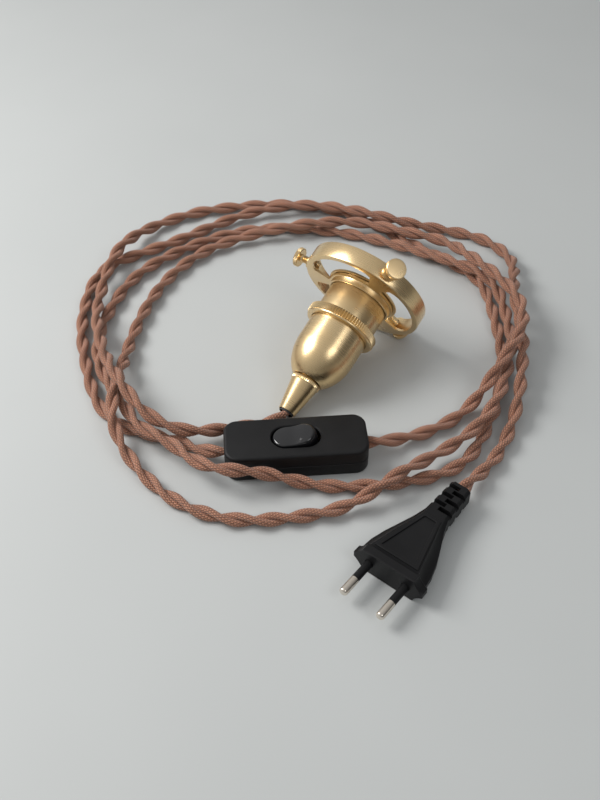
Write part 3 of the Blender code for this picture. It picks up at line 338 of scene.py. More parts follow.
def make_materials():
    braid_group()
    noise_group("Tarnish", 60.0, 4.0)
    noise_group("Lathe marks", 1.0, 2.0, (60, 60, 5200))
    noise_group("Fine grain", 3800.0, 2.0)
    noise_group("Table mottle", 4.0, 3.0)
    metal("Satin brass", (0.83, 0.63, 0.36), (0.79, 0.58, 0.31), 0.29, 0.16)
    metal("Contact brass", (0.78, 0.6, 0.3), (0.6, 0.43, 0.2), 0.36)
    metal("Zinc steel", (0.66, 0.66, 0.63), (0.5, 0.5, 0.48), 0.34)
    metal("Nickel", (0.82, 0.76, 0.68), (0.72, 0.65, 0.56), 0.2, 0.08)
    plastic("Matte black", (0.006, 0.006, 0.0065), 0.46, 0.9, 0.00012, 0.26)
    plastic("Satin black", (0.005, 0.005, 0.0055), 0.44, 0.5, 0.00008, 0.24)
    plastic("Gloss black", (0.004, 0.004, 0.005), 0.07, 0.01, 0.00002, 0.8)
    plastic("Black rubber", (0.02, 0.02, 0.02), 0.65, 0.3)
    plastic("White ceramic", (0.8, 0.78, 0.72), 0.25, 0.05)
    braid_material()
    table_material()


# ---------------------------------------------------------------- mesh helpers


def mesh_object(name, mesh, look, matrix=None, body="set", replaced=()):
    piece = bpy.data.objects.new(name, mesh)
    bpy.context.scene.collection.objects.link(piece)
    if matrix is not None:
        piece.matrix_world = matrix
    mesh.materials.append(bpy.data.materials[look])
    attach(piece, body)
    if replaced:
        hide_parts(*replaced)
    return piece


def finish_mesh(shape, name, sharp=35):
    bmesh.ops.recalc_face_normals(shape, faces=shape.faces)
    mesh = bpy.data.meshes.new(name)
    shape.to_mesh(mesh)
    shape.free()
    mesh.shade_smooth()
    mesh.set_sharp_from_angle(angle=radians(sharp))
    return mesh


def loft(name, rings, closed=False, sharp=35):
    shape = bmesh.new()
    loops = [[shape.verts.new(point) for point in ring] for ring in rings]
    pairs = list(zip(loops, loops[1:]))
    if closed:
        pairs.append((loops[-1], loops[0]))
    for lower, upper in pairs:
        for i in range(len(lower)):
            j = (i + 1) % len(lower)
            shape.faces.new((lower[i], lower[j], upper[j], upper[i]))
    if not closed:
        shape.faces.new(loops[0][::-1])
        shape.faces.new(loops[-1])
    return finish_mesh(shape, name, sharp)


def turned(name, profile, segments=96, solid=False, knurled=(), depth=0.3 * MM):
    """A turned piece about Z. The numbered points in knurled are cut into teeth."""
    rings = []
    for number, (radius, height) in enumerate(profile):
        cut = depth if number in knurled else 0
        rings.append(
            [
                (
                    (radius - cut * (i % 2)) * cos(2 * pi * i / segments),
                    (radius - cut * (i % 2)) * sin(2 * pi * i / segments),
                    height,
                )
                for i in range(segments)
            ]
        )
    return loft(name, rings, closed=not solid)


def block(name, low, high):
    rings = [
        [(low[0], low[1], z), (high[0], low[1], z), (high[0], high[1], z), (low[0], high[1], z)]
        for z in (low[2], high[2])
    ]
    return loft(name, rings)


def rod(name, radius, low, high, segments=32):
    return turned(name, ((radius, low), (radius, high)), segments, solid=True)


def cut(piece, tools, operation="DIFFERENCE", sharp=35):
    """Cuts or joins helper meshes, given with their matrices in the row frame, and removes the helpers."""
    bpy.context.view_layer.update()
    for mesh, matrix in tools:
        helper = bpy.data.objects.new("tool", mesh)
        bpy.context.scene.collection.objects.link(helper)
        helper.matrix_world = matrix
        change = piece.modifiers.new("Cut", "BOOLEAN")
        change.operation = operation
        change.object = helper
        bpy.context.view_layer.update()
        graph = bpy.context.evaluated_depsgraph_get()
        result = bpy.data.meshes.new_from_object(piece.evaluated_get(graph))
        piece.modifiers.clear()
        piece.data = result
        bpy.data.objects.remove(helper)
    piece.data.shade_smooth()
    piece.data.set_sharp_from_angle(angle=radians(sharp))


def stadium(length, width, steps=16):
    radius = width / 2
    middle = length / 2 - radius
    points = []
    for end, start in ((1, -pi / 2), (-1, pi / 2)):
        for i in range(steps + 1):
            angle = start + pi * i / steps
            points.append((end * middle + radius * cos(angle), radius * sin(angle)))
    return points


def rounded_ring(height, inset, steps=12):
    length = SWITCH_LENGTH - 2 * inset
    width = SWITCH_WIDTH - 2 * inset
    corner = SWITCH_CORNER - inset
    points = []
    for quarter, (x, y) in enumerate(((1, 1), (-1, 1), (-1, -1), (1, -1))):
        for i in range(steps + 1):
            angle = quarter * pi / 2 + pi / 2 * i / steps
            points.append(
                (
                    x * (length / 2 - corner) + corner * cos(angle),
                    y * (width / 2 - corner) + corner * sin(angle),
                    height,
                )
            )
    return points


# ---------------------------------------------------------------- cords


def smooth_curve(points, spacing):
    """Points at about the given spacing along one smooth curve, a natural cubic spline, through the route."""
    knots = np.array(points, float) * MM
    steps = np.linalg.norm(np.diff(knots, axis=0), axis=1)
    count = len(knots)
    system = np.zeros((count, count))
    right = np.zeros((count, 3))
    system[0, 0] = system[-1, -1] = 1
    for i in range(1, count - 1):
        system[i, i - 1 : i + 2] = steps[i - 1], 2 * (steps[i - 1] + steps[i]), steps[i]
        slopes = (knots[i + 1] - knots[i]) / steps[i] - (knots[i] - knots[i - 1]) / steps[i - 1]
        right[i] = 6 * slopes
    bends = np.linalg.solve(system, right)
    curve = []
    for i, step in enumerate(steps):
        pieces = max(1, round(step / spacing))
        for k in range(pieces):
            b = k / pieces
            a = 1 - b
            curve.append(
                a * knots[i]
                + b * knots[i + 1]
                + ((a**3 - a) * bends[i] + (b**3 - b) * bends[i + 1]) * step**2 / 6
            )
    curve.append(knots[-1])
    return np.array(curve)


def carried_normals(curve):
    """Normals carried along the curve without turning about it, and the tangents."""
    tangents = np.gradient(curve, axis=0)
    tangents /= np.linalg.norm(tangents, axis=1)[:, None]
    normal = np.cross(tangents[0], (0, 0, 1))
    normal /= np.linalg.norm(normal)
    normals = []
    for tangent in tangents:
        normal = normal - tangent * np.dot(normal, tangent)
        normal /= np.linalg.norm(normal)
        normals.append(normal)
    return np.array(normals), tangents


def twisted_pair(name, route, pitch):
    """Two round cores twisted about the route, in one mesh whose UV map runs along and round each core."""
    curve = smooth_curve(route, RING_SPACING)
    curve[:, 2] = np.maximum(curve[:, 2], CORD_DIAMETER / 2 + 0.02 * MM)
    normals, tangents = carried_normals(curve)
    sides = np.cross(tangents, normals)
    reach = np.concatenate([[0], np.cumsum(np.linalg.norm(np.diff(curve, axis=0), axis=1))])
    turn = 2 * pi * reach / pitch + 0.5 * np.sin(reach / 0.083) + 0.35 * np.sin(reach / 0.037 + 1)
    around = 2 * pi * np.arange(CORE_SEGMENTS) / CORE_SEGMENTS
    rounds = 2 * pi * CORE_RADIUS
    points = []
    faces = []
    uvs = []
    for phase in (0, pi):
        out = normals * np.cos(turn + phase)[:, None] + sides * np.sin(turn + phase)[:, None]
        across = np.cross(tangents, out)
        middle = curve + CORE_OFFSET * out
        first = len(points)
        for i in range(len(curve)):
            for angle in around:
                points.append(middle[i] + CORE_RADIUS * (cos(angle) * out[i] + sin(angle) * across[i]))
        for i in range(len(curve) - 1):
            for j in range(CORE_SEGMENTS):
                k = (j + 1) % CORE_SEGMENTS
                row = first + i * CORE_SEGMENTS
                faces.append((row + j, row + k, row + CORE_SEGMENTS + k, row + CORE_SEGMENTS + j))
                start, end = reach[i] / rounds, reach[i + 1] / rounds
                low, high = j / CORE_SEGMENTS, (j + 1) / CORE_SEGMENTS
                uvs += [(start, low), (start, high), (end, high), (end, low)]
        last = first + (len(curve) - 1) * CORE_SEGMENTS
        faces.append(tuple(range(first + CORE_SEGMENTS - 1, first - 1, -1)))
        faces.append(tuple(range(last, last + CORE_SEGMENTS)))
        uvs += [(0, 0)] * (2 * CORE_SEGMENTS)
    mesh = bpy.data.meshes.new(name)
    mesh.from_pydata([tuple(point) for point in points], [], faces)
    layer = mesh.uv_layers.new(name="braid")
    layer.data.foreach_set("uv", np.array(uvs, np.float32).ravel())
    mesh.shade_smooth()
    return mesh, curve, float(reach[-1])


def make_cords(pitch):
    made = {}
    for node_name, route in (("lamp_cord", LAMP_CORD_ROUTE), ("plug_cord", PLUG_CORD_ROUTE)):
        mesh, curve, length = twisted_pair(f"{node_name}_twist", route, pitch)
        piece = mesh_object(
            f"{node_name}_twist", mesh, "Copper braid", replaced=(node_name,)
        )
        made[node_name] = (piece, curve, length)
    return made


def declare_cords(made):
    """Lists the pieces on the plug cord and does nothing more with the list."""
    on_it = ["plug_shell", "plug_frame_top", "pin_carrier", "plug_pin_1_tip", "plug_pin_2_tip"]
    on_it += ["pin_sleeve_1_skin", "pin_sleeve_2_skin"]


# ---------------------------------------------------------------- switch


def make_upper_housing(edge):
    ceiling = SWITCH_HEIGHT - SWITCH_WALL
    bottom = PARTING_HEIGHT + GAP / 2
    bead = 0.25 * MM
    steps = 8
    rings = [
        rounded_ring(ceiling, SWITCH_WALL),
        rounded_ring(bottom, SWITCH_WALL),
        rounded_ring(bottom, bead),
        rounded_ring(bottom + bead, 0),
    ]
    for i in range(steps + 1):
        angle = pi / 2 * i / steps
        rings.append(rounded_ring(SWITCH_HEIGHT - edge + edge * sin(angle), edge - edge * cos(angle)))
    mesh = loft("upper_shell", rings, sharp=25)
    piece = mesh_object("upper_shell", mesh, "Matte black", replaced=("upper_housing",))
    well = []
    lip = 0.45 * MM
    levels = ((0, ceiling - MM), (0, SWITCH_HEIGHT - lip), (-lip, SWITCH_HEIGHT), (-lip, SWITCH_HEIGHT + MM))
    for inset, height in levels:
        outline = stadium(WELL_LENGTH - 2 * inset, WELL_WIDTH - 2 * inset, 24)
        well.append([(x, y, height) for x, y in outline])
    tools = [(loft("well", well), Matrix())]
    tools += entry_tools()
    cut(piece, tools, sharp=25)


def entry_tools():
    """Round holes for the cord in both ends of the switch."""
    tools = []
    for side in (-1, 1):
        hole = rod("entry", CORD_ENTRY_RADIUS, SWITCH_LENGTH / 2 - 3 * MM, SWITCH_LENGTH / 2 + MM, 48)
        turn = Matrix.Rotation(side * pi / 2, 4, "Y")
        tools.append((hole, Matrix.Translation((0, 0, CORD_HEIGHT)) @ turn))
    return tools


def make_lower_housing():
    bead = 0.25 * MM
    top = PARTING_HEIGHT - GAP / 2
    rings = [
        rounded_ring(0, 1.2 * MM),
        rounded_ring(0.35 * MM, 0.35 * MM),
        rounded_ring(1.2 * MM, 0),
        rounded_ring(top - bead, 0),
        rounded_ring(top, bead),
        rounded_ring(top, SWITCH_WALL),
        rounded_ring(SWITCH_WALL, SWITCH_WALL),
    ]
    mesh = loft("lower_shell", rings, sharp=25)
    piece = mesh_object("lower_shell", mesh, "Matte black", replaced=("lower_housing",))
    holes = []
    for side in (-1, 1):
        hole = rod("screw_hole", 2.5 * MM, -MM, 2.4 * MM, 40)
        holes.append((hole, Matrix.Translation((side * 22.3 * MM, side * 7.3 * MM, 0))))
    cut(piece, [*holes, *entry_tools()], sharp=25)


def rocker_outline(length, width, steps=24, side_steps=14):
    """A stadium from the middle of its +X end, with points along its straight sides. Both halves match."""
    radius = width / 2
    middle = length / 2 - radius
    upper = [(middle + radius * cos(a), radius * sin(a)) for a in np.linspace(0, pi / 2, steps // 2 + 1)]
    upper += [(x, radius) for x in np.linspace(middle, -middle, side_steps + 1)[1:-1]]
    upper += [(-middle + radius * cos(a), radius * sin(a)) for a in np.linspace(pi / 2, pi, steps // 2 + 1)]
    return upper + [(x, -y) for x, y in reversed(upper[1:-1])]


def make_rocker():
    """The rocker, tilted to its rest, with a shallow vee across its top and rounded edges."""
    side = rocker_outline(WELL_LENGTH - 3.5 * ROCKER_GAP, WELL_WIDTH - 2 * ROCKER_GAP)
    top = rocker_outline(ROCKER_TOP_LENGTH, ROCKER_TOP_WIDTH)
    rise = tan(ROCKER_VEE)
    valley = 1.2 * MM
    edge_steps = 7
    rings = [[(x, y, -0.5 * MM) for x, y in side], [(x, y, ROCKER_BODY_TOP) for x, y in side]]
    for i in range(1, edge_steps + 1):
        angle = pi / 2 * i / edge_steps
        ring = []
        for (sx, sy), (tx, ty) in zip(side, top):
            crest = ROCKER_CREST + sqrt(tx * tx + valley * valley) * rise
            inward = 1 - cos(angle)
            height = ROCKER_BODY_TOP + (crest - ROCKER_BODY_TOP) * sin(angle)
            ring.append((sx + (tx - sx) * inward, sy + (ty - sy) * inward, height))
        rings.append(ring)
    shape = bmesh.new()
    loops = [[shape.verts.new(point) for point in ring] for ring in rings]
    count = len(side)
    for lower, upper in zip(loops, loops[1:]):
        for i in range(count):
            j = (i + 1) % count
            shape.faces.new((lower[i], lower[j], upper[j], upper[i]))
    shape.faces.new(loops[0][::-1])
    last = loops[-1]
    for i in range(count // 2):
        corners = (last[i], last[i + 1], last[count - i - 1], last[(count - i) % count])
        shape.faces.new(dict.fromkeys(corners))
    matrix = Matrix.Translation((0, 0, PIVOT_HEIGHT)) @ Matrix.Rotation(-ROCKER_TILT, 4, "Y")
    mesh = finish_mesh(shape, "rocker_cap", 40)
    mesh_object("rocker_cap", mesh, "Gloss black", matrix, "rocker_body", ("rocker",))


# ---------------------------------------------------------------- lampholder


def holder_matrix():
    height = GRIP_LENGTH * sin(HOLDER_ELEVATION) + GRIP_TIP_RADIUS * cos(HOLDER_ELEVATION) + TABLE_CLEARANCE
    axis = Vector(
        (
            cos(HOLDER_ELEVATION) * cos(HOLDER_AZIMUTH),
            cos(HOLDER_ELEVATION) * sin(HOLDER_AZIMUTH),
            sin(HOLDER_ELEVATION),
        )
    )
    up = (Vector((0, 0, 1)) - axis * axis.z).normalized()
    side = axis.cross(up)
    turn = Matrix((up, side, axis)).transposed().to_4x4()
    return Matrix.Translation((HOLDER_X, HOLDER_Y, height)) @ turn


def brass_piece(name, mesh, replaced, body="set", matrix=None):
    return mesh_object(
        name, mesh, "Satin brass", matrix or holder_matrix(), body, (replaced,)
    )


def dome_radius(height):
    if height >= DOME_SHOULDER:
        return DOME_RADIUS
    return DOME_RADIUS * sqrt(1 - ((DOME_SHOULDER - height) / (DOME_SHOULDER + 3 * MM)) ** 2)


def make_dome():
    wall = 1.2 * MM
    heights = [0.2 * MM + (DOME_SHOULDER - 0.2 * MM) * (i / 24) ** 1.5 for i in range(25)] + [DOME_TOP]
    outer = [(dome_radius(h), h) for h in heights]
    inner = [(dome_radius(h) - wall, h + wall) for h in heights[3:-1]] + [(DOME_RADIUS - wall, DOME_TOP)]
    profile = [(5.3 * MM, heights[0]), *outer, *reversed(inner), (5.3 * MM, inner[0][1])]
    brass_piece("dome", turned("dome", profile, 128), "dome_cap")


def make_grip():
    bore = 4.05 * MM
    top = -0.2 * MM
    lip = 0.35 * MM
    knurl = GRIP_RADIUS + 0.3 * MM
    profile = (
        (bore, -GRIP_LENGTH + lip),
        (bore + lip / 2, -GRIP_LENGTH),
        (GRIP_TIP_RADIUS - lip / 2, -GRIP_LENGTH),
        (GRIP_TIP_RADIUS, -GRIP_LENGTH + lip),
        (GRIP_RADIUS - 0.15 * MM, top - GRIP_BAND - 0.3 * MM),
        (GRIP_RADIUS, top - GRIP_BAND),
        (knurl, top - GRIP_BAND + 0.15 * MM),
        (knurl, top - 0.35 * MM),
        (GRIP_RADIUS - 0.1 * MM, top),
        (5.3 * MM, top),
        (5.3 * MM, -6.3 * MM),
        (bore, -7.3 * MM),
    )
    brass_piece("grip", turned("grip", profile, 96, knurled=(6, 7), depth=0.4 * MM), "cord_grip")


def make_sleeve_and_rings(teeth):
    inner = SLEEVE_RADIUS - SLEEVE_WALL
    lip = 0.3 * MM
    sleeve = (
        (inner, DOME_TOP + GAP),
        (SLEEVE_RADIUS, DOME_TOP + GAP),
        (SLEEVE_RADIUS, SLEEVE_TOP - lip),
        (SLEEVE_RADIUS - lip / 3, SLEEVE_TOP - lip / 3),
        (SLEEVE_RADIUS - lip, SLEEVE_TOP),
        (inner + lip / 2, SLEEVE_TOP),
        (inner, SLEEVE_TOP - lip / 2),
    )
    brass_piece("sleeve", turned("sleeve", sleeve, 128), "outer_sleeve")
    bore = SLEEVE_RADIUS + GAP
    seat = DOME_RADIUS + GAP
    lip_radius = UNION_RADIUS - 0.2 * MM
    crest = UNION_RADIUS + 0.3 * MM
    ring = (
        (seat, UNION_BOTTOM),
        (lip_radius - 0.9 * MM, UNION_BOTTOM),
        (lip_radius - 0.25 * MM, UNION_BOTTOM + 0.2 * MM),
        (lip_radius, UNION_BOTTOM + 0.6 * MM),
        (lip_radius, UNION_BOTTOM + 1.0 * MM),
        (lip_radius - 0.25 * MM, UNION_BOTTOM + 1.15 * MM),
        (crest, UNION_BOTTOM + 1.4 * MM),
        (crest, UNION_TOP - 0.5 * MM),
        (UNION_RADIUS - 0.3 * MM, UNION_TOP),
        (bore, UNION_TOP),
        (bore, UNION_BOTTOM + 1.2 * MM),
        (seat, UNION_BOTTOM + 1.2 * MM),
    )
    mesh = turned("union", ring, teeth * 2, knurled=(6, 7), depth=0.9 * MM)
    brass_piece("union", mesh, "union_ring", "union_ring_body")
    bottom = PLATE_BOTTOM + PLATE_THICKNESS + GAP
    top = bottom + NUT_HEIGHT
    nut = (
        (bore, bottom),
        (NUT_RADIUS - 0.2 * MM, bottom),
        (NUT_RADIUS, bottom + 0.25 * MM),
        (NUT_RADIUS, top - 0.6 * MM),
        (NUT_RADIUS - 0.8 * MM, top),
        (bore + 0.2 * MM, top),
        (bore, top - 0.2 * MM),
    )
    mesh = turned("nut", nut, teeth * 2, knurled=(2, 3), depth=1.1 * MM)
    brass_piece("nut", mesh, "gallery_nut", "gallery_nut_body")


def window_tool(centre):
    """One window of the plate. Its corners at the rim and at the hub are rounded."""
    outer = RIM_RADIUS - RIM_WALL
    half = SPOKE_WIDTH / 2
    inner_reach = pi / 3 - asin(half * 0.45 / WINDOW_INNER_RADIUS)
    outer_reach = pi / 3 - asin(half / outer)
    steps = 20
    outline = []
    for i in range(steps + 1):
        part = 2 * i / steps - 1
        outline.append((WINDOW_INNER_RADIUS + 1.2 * MM * part**8, inner_reach * part))
    for i in range(steps + 1):
        part = 1 - 2 * i / steps
        outline.append((outer - 2.2 * MM * part**8, outer_reach * part))
    rings = []
    for height in (PLATE_BOTTOM - MM, PLATE_BOTTOM + PLATE_THICKNESS + MM):
        rings.append([(r * cos(centre + a), r * sin(centre + a), height) for r, a in outline])
    return loft("window", rings)


def thumb_matrix(number):
    turn = Matrix.Rotation(GALLERY_TURN - number * 2 * pi / 3, 4, "Z") @ Matrix.Rotation(pi / 2, 4, "Y")
    return holder_matrix() @ Matrix.Translation((0, 0, THUMB_HEIGHT)) @ turn


def make_gallery():
    bore = SLEEVE_RADIUS + GAP
    collar = bore + COLLAR_WALL
    plate_top = PLATE_BOTTOM + PLATE_THICKNESS
    inner = RIM_RADIUS - RIM_WALL
    profile = [
        (bore, COLLAR_BOTTOM),
        (collar - 0.3 * MM, COLLAR_BOTTOM),
        (collar, COLLAR_BOTTOM + 0.3 * MM),
        (collar, PLATE_BOTTOM - 0.4 * MM),
        (collar + 0.12 * MM, PLATE_BOTTOM - 0.12 * MM),
        (collar + 0.4 * MM, PLATE_BOTTOM),
        (RIM_RADIUS - 0.9 * MM, PLATE_BOTTOM),
        (RIM_RADIUS - 0.25 * MM, PLATE_BOTTOM + 0.25 * MM),
        (RIM_RADIUS, PLATE_BOTTOM + 0.9 * MM),
        (RIM_RADIUS, RIM_TOP - 0.7 * MM),
        (RIM_RADIUS - 0.2 * MM, RIM_TOP - 0.2 * MM),
        (RIM_RADIUS - 0.7 * MM, RIM_TOP),
        (inner + 0.3 * MM, RIM_TOP),
        (inner, RIM_TOP - 0.3 * MM),
        (inner, plate_top + 0.3 * MM),
        (inner - 0.3 * MM, plate_top),
        (bore, plate_top),
    ]
    piece = brass_piece("gallery_ring", turned("gallery_ring", profile, 144), "gallery")
    matrix = holder_matrix()
    windows = [(window_tool(GALLERY_TURN + pi / 3 + k * 2 * pi / 3), matrix) for k in range(3)]
    cut(piece, windows)
    bosses = []
    holes = []
    for number in range(3):
        flare = [
            (3.3 * MM + 1.5 * MM * (1 - i / 8) ** 2.5, RIM_RADIUS - 1.2 * MM + (BOSS_HEIGHT + 1.1 * MM) * i / 8)
            for i in range(9)
        ]
        flare.append((3.1 * MM, RIM_RADIUS + BOSS_HEIGHT))
        bosses.append((turned("boss", flare, 48, solid=True), thumb_matrix(number)))
        hole = rod("hole", THUMB_SHANK_RADIUS + GAP, inner - 4 * MM, RIM_RADIUS + BOSS_HEIGHT + MM)
        holes.append((hole, thumb_matrix(number)))
    cut(piece, bosses, "UNION")
    cut(piece, holes)


def make_thumbscrews(teeth):
    for number in range(3):
        base = RIM_RADIUS + BOSS_HEIGHT + GAP + (THUMB_OUT if number < 2 else 0)
        tip = base - THUMB_SHANK
        profile = [(THUMB_SHANK_RADIUS * 0.65, tip), (THUMB_SHANK_RADIUS * 0.9, tip + 0.5 * MM)]
        pitch = 0.7 * MM
        turns = int((THUMB_SHANK - 1.6 * MM) / pitch)
        for i in range(turns):
            start = tip + 0.8 * MM + i * pitch
            profile.append((THUMB_SHANK_RADIUS, start))
            profile.append((THUMB_SHANK_RADIUS * 0.86, start + pitch / 2))
        profile.append((THUMB_SHANK_RADIUS, base - 0.4 * MM))
        profile.append((THUMB_SHANK_RADIUS, base))
        first = len(profile) + 1
        profile += [
            (THUMB_HEAD_RADIUS - 0.5 * MM, base),
            (THUMB_HEAD_RADIUS, base + 0.3 * MM),
            (THUMB_HEAD_RADIUS, base + THUMB_HEAD - 0.4 * MM),
            (THUMB_HEAD_RADIUS - 0.5 * MM, base + THUMB_HEAD - 0.05 * MM),
            (THUMB_HEAD_RADIUS - 1.4 * MM, base + THUMB_HEAD),
        ]
        mesh = turned("thumb", profile, teeth * 2, solid=True, knurled=(first, first + 1), depth=0.22 * MM)
        name = f"thumbscrew_{number + 1}"
        brass_piece(f"{name}_turned", mesh, name, f"{name}_body", thumb_matrix(number))


# ---------------------------------------------------------------- plug


def plug_matrix():
    return Matrix.Translation((PLUG_X, PLUG_Y, PLUG_THICKNESS / 2)) @ Matrix.Rotation(PLUG_TURN, 4, "Z")


def plug_section(distance):
    """Half width, half height and corner sizes of the plug's body at a distance from its face."""
    stations = (
        (0.0, 17.3, 6.55, 4.6, 5.3),
        (0.4, 17.65, 6.85, 4.6, 5.6),
        (4.0, 17.5, 6.85, 4.6, 5.4),
        (4.3, 17.2, 6.6, 4.4, 5.2),
        (4.8, 16.2, 6.3, 4.0, 5.0),
        (10.0, 15.6, 6.2, 4.8, 4.6),
        (17.0, 13.6, 6.0, 4.4, 4.2),
        (24.0, 10.8, 5.8, 3.6, 3.6),
        (31.0, 7.8, 5.6, 2.6, 2.6),
        (37.0, 5.8, 5.4, 1.6, 1.6),
        (57.0, 5.0, 5.0, 1.5, 1.5),
        (57.4, 4.6, 4.6, 1.5, 1.5),
    )
    columns = np.array(stations).T * MM
    return [float(np.interp(distance, columns[0], columns[i])) for i in range(1, 5)]


def plug_ring(distance):
    half_width, half_height, across, down = plug_section(distance)
    quarter = []
    for i in range(9):
        angle = pi / 2 * i / 8
        blend = sin(angle) ** 1.6, cos(angle) ** 1.6
        quarter.append((half_width - across * blend[0], half_height - down * blend[1]))
    upper = [*quarter, (0, half_height), *[(-y, z) for y, z in reversed(quarter)]]
    outline = [*upper, *[(y, -z) for y, z in reversed(upper)]]
    return [(distance, y, z) for y, z in outline]


def make_plug_body():
    fine = [0, 0.4, 1.2, 4.0, 4.3, 4.8, 5.6]
    stations = fine + [7 + 1.5 * i for i in range(20)] + [37, 57, 57.4]
    mesh = loft("plug_shell", [plug_ring(s * MM) for s in stations], sharp=30)
    matrix = plug_matrix()
    piece = mesh_object(
        "plug_shell", mesh, "Satin black", matrix, replaced=("plug_body",)
    )
    tools = []
    pitch = (PLUG_LENGTH - RELIEF_START - 3 * MM) / RELIEF_SLOTS
    for number in range(RELIEF_SLOTS):
        start = RELIEF_START + 1.5 * MM + number * pitch
        end = start + RELIEF_SLOT_WIDTH
        for side in (-1, 1):
            reach = sorted((side * 8 * MM, side * -0.9 * MM))
            shift = pitch / 2 if side > 0 else 0
            for bottom, top in ((2.2 * MM, 8 * MM), (-8 * MM, -2.2 * MM)):
                box = block("slot", (start + shift, reach[0], bottom), (end + shift, reach[1], top))
                tools.append((box, matrix))
    along = Matrix.Rotation(pi / 2, 4, "Y")
    bore = rod("bore", 3.3 * MM, PLUG_LENGTH - 3 * MM, PLUG_LENGTH + MM)
    tools.append((bore, matrix @ along))
    for side in (-1, 1):
        hole = rod("bore", 2.2 * MM, -MM, 3.4 * MM)
        tools.append((hole, matrix @ Matrix.Translation((0, side * PLUG_PIN_SPACING / 2, 0)) @ along))
    cut(piece, tools, sharp=30)


def make_plug_frame():
    """The raised edge of the trapezoid panel on each flat side of the plug."""
    corners = ((5.8, 11.0), (5.8, -11.0), (33.5, -4.3), (33.5, 4.3))
    inner = ((7.6, 8.6), (7.6, -8.6), (31.9, -2.9), (31.9, 2.9))
    shape = bmesh.new()
    for side in (-1, 1):
        loops = []
        for outline, rise in ((corners, -0.6), (corners, 0.6), (inner, 0.6), (inner, -0.6)):
            loops.append(
                [shape.verts.new((x * MM, y * MM, side * (plug_section(x * MM)[1] + rise * MM))) for x, y in outline]
            )
        for a, b in zip(loops, loops[1:] + loops[:1]):
            for i in range(4):
                j = (i + 1) % 4
                shape.faces.new((a[i], a[j], b[j], b[i]))
    mesh = finish_mesh(shape, "plug_frame_top")
    piece = mesh_object("plug_frame_top", mesh, "Satin black", plug_matrix())
    soften = piece.modifiers.new("Soften", "BEVEL")
    soften.width = 0.22 * MM
    soften.segments = 3


def make_plug_pins():
    along = Matrix.Rotation(pi / 2, 4, "Y")
    for number, side in ((1, 1), (2, -1)):
        matrix = plug_matrix() @ Matrix.Translation((0, side * PLUG_PIN_SPACING / 2, 0)) @ along
        tip = -PLUG_PIN_LENGTH
        nose = []
        for i in range(9):
            angle = pi / 2 * i / 8
            nose.append(
                (0.5 * MM + (PLUG_PIN_RADIUS - 0.5 * MM) * sin(angle), tip + 1.3 * MM * (1 - cos(angle)))
            )
        base = -PLUG_SLEEVE_LENGTH - 0.05 * MM
        pin = [*nose, (PLUG_PIN_RADIUS, base), (1.15 * MM, base), (1.15 * MM, 11 * MM)]
        mesh = turned("pin", pin, 48, solid=True)
        name = f"plug_pin_{number}"
        mesh_object(f"{name}_tip", mesh, "Nickel", matrix, replaced=(name,))
        sleeve = (
            (1.4 * MM, -PLUG_SLEEVE_LENGTH),
            (1.75 * MM, -PLUG_SLEEVE_LENGTH),
            (1.9 * MM, -PLUG_SLEEVE_LENGTH + 0.15 * MM),
            (1.9 * MM, 2.8 * MM),
            (1.4 * MM, 2.8 * MM),
        )
        name = f"pin_sleeve_{number}"
        mesh = turned("sleeve", sleeve, 48)
        mesh_object(f"{name}_skin", mesh, "Satin black", matrix, replaced=(name,))


# ---------------------------------------------------------------- inner pieces and stage


INNER_LOOKS = {
    "matte_black": "Matte black",
    "contact_brass": "Contact brass",
    "zinc_steel": "Zinc steel",
    "black_rubber": "Black rubber",
    "white_ceramic": "White ceramic",
}


def finish_inner_pieces():
    """Gives each piece still shown as packed the finish of its material slot."""
    slots = {part["node"]: part["material_slot"] for part in frame["record"]["subparts"]}
    for name, piece in frame["nodes"].items():
        if piece.hide_render:
            continue
        piece.data.materials.clear()
        piece.data.materials.append(bpy.data.materials[INNER_LOOKS[slots[name]]])


def make_floor(size):
    half = size / 2
    mesh = bpy.data.meshes.new("table_top")
    mesh.from_pydata([(-half, -half, 0), (half, -half, 0), (half, half, 0), (-half, half, 0)], [], [(0, 1, 2, 3)])
    mesh.materials.append(bpy.data.materials["Table"])
    table = bpy.data.objects.new("table_top", mesh)
    table.location.z = -0.02 * MM
    bpy.context.scene.collection.objects.link(table)
    return table


def make_light(name, place, target, size, power, colour):
    lamp = bpy.data.lights.new(name, "AREA")
    lamp.shape = "RECTANGLE"
    lamp.size, lamp.size_y = size
    lamp.energy = power
    lamp.color = colour
    made = bpy.data.objects.new(name, lamp)
    made.location = place
    made.rotation_euler = (Vector(target) - Vector(place)).to_track_quat("-Z", "Y").to_euler()
    bpy.context.scene.collection.objects.link(made)
    return made


def make_camera():
    lens = bpy.data.cameras.new("Camera")
    lens.sensor_fit = "VERTICAL"
    lens.sensor_height = 36
    lens.lens = 45.45
    lens.clip_start = 0.01
    camera = bpy.data.objects.new("Camera", lens)
    camera.location = (-0.0237, -0.3119, 0.363)
    camera.rotation_euler = (radians(44), 0, radians(-4.7))
    bpy.context.scene.collection.objects.link(camera)
    bpy.context.scene.camera = camera
    return camera


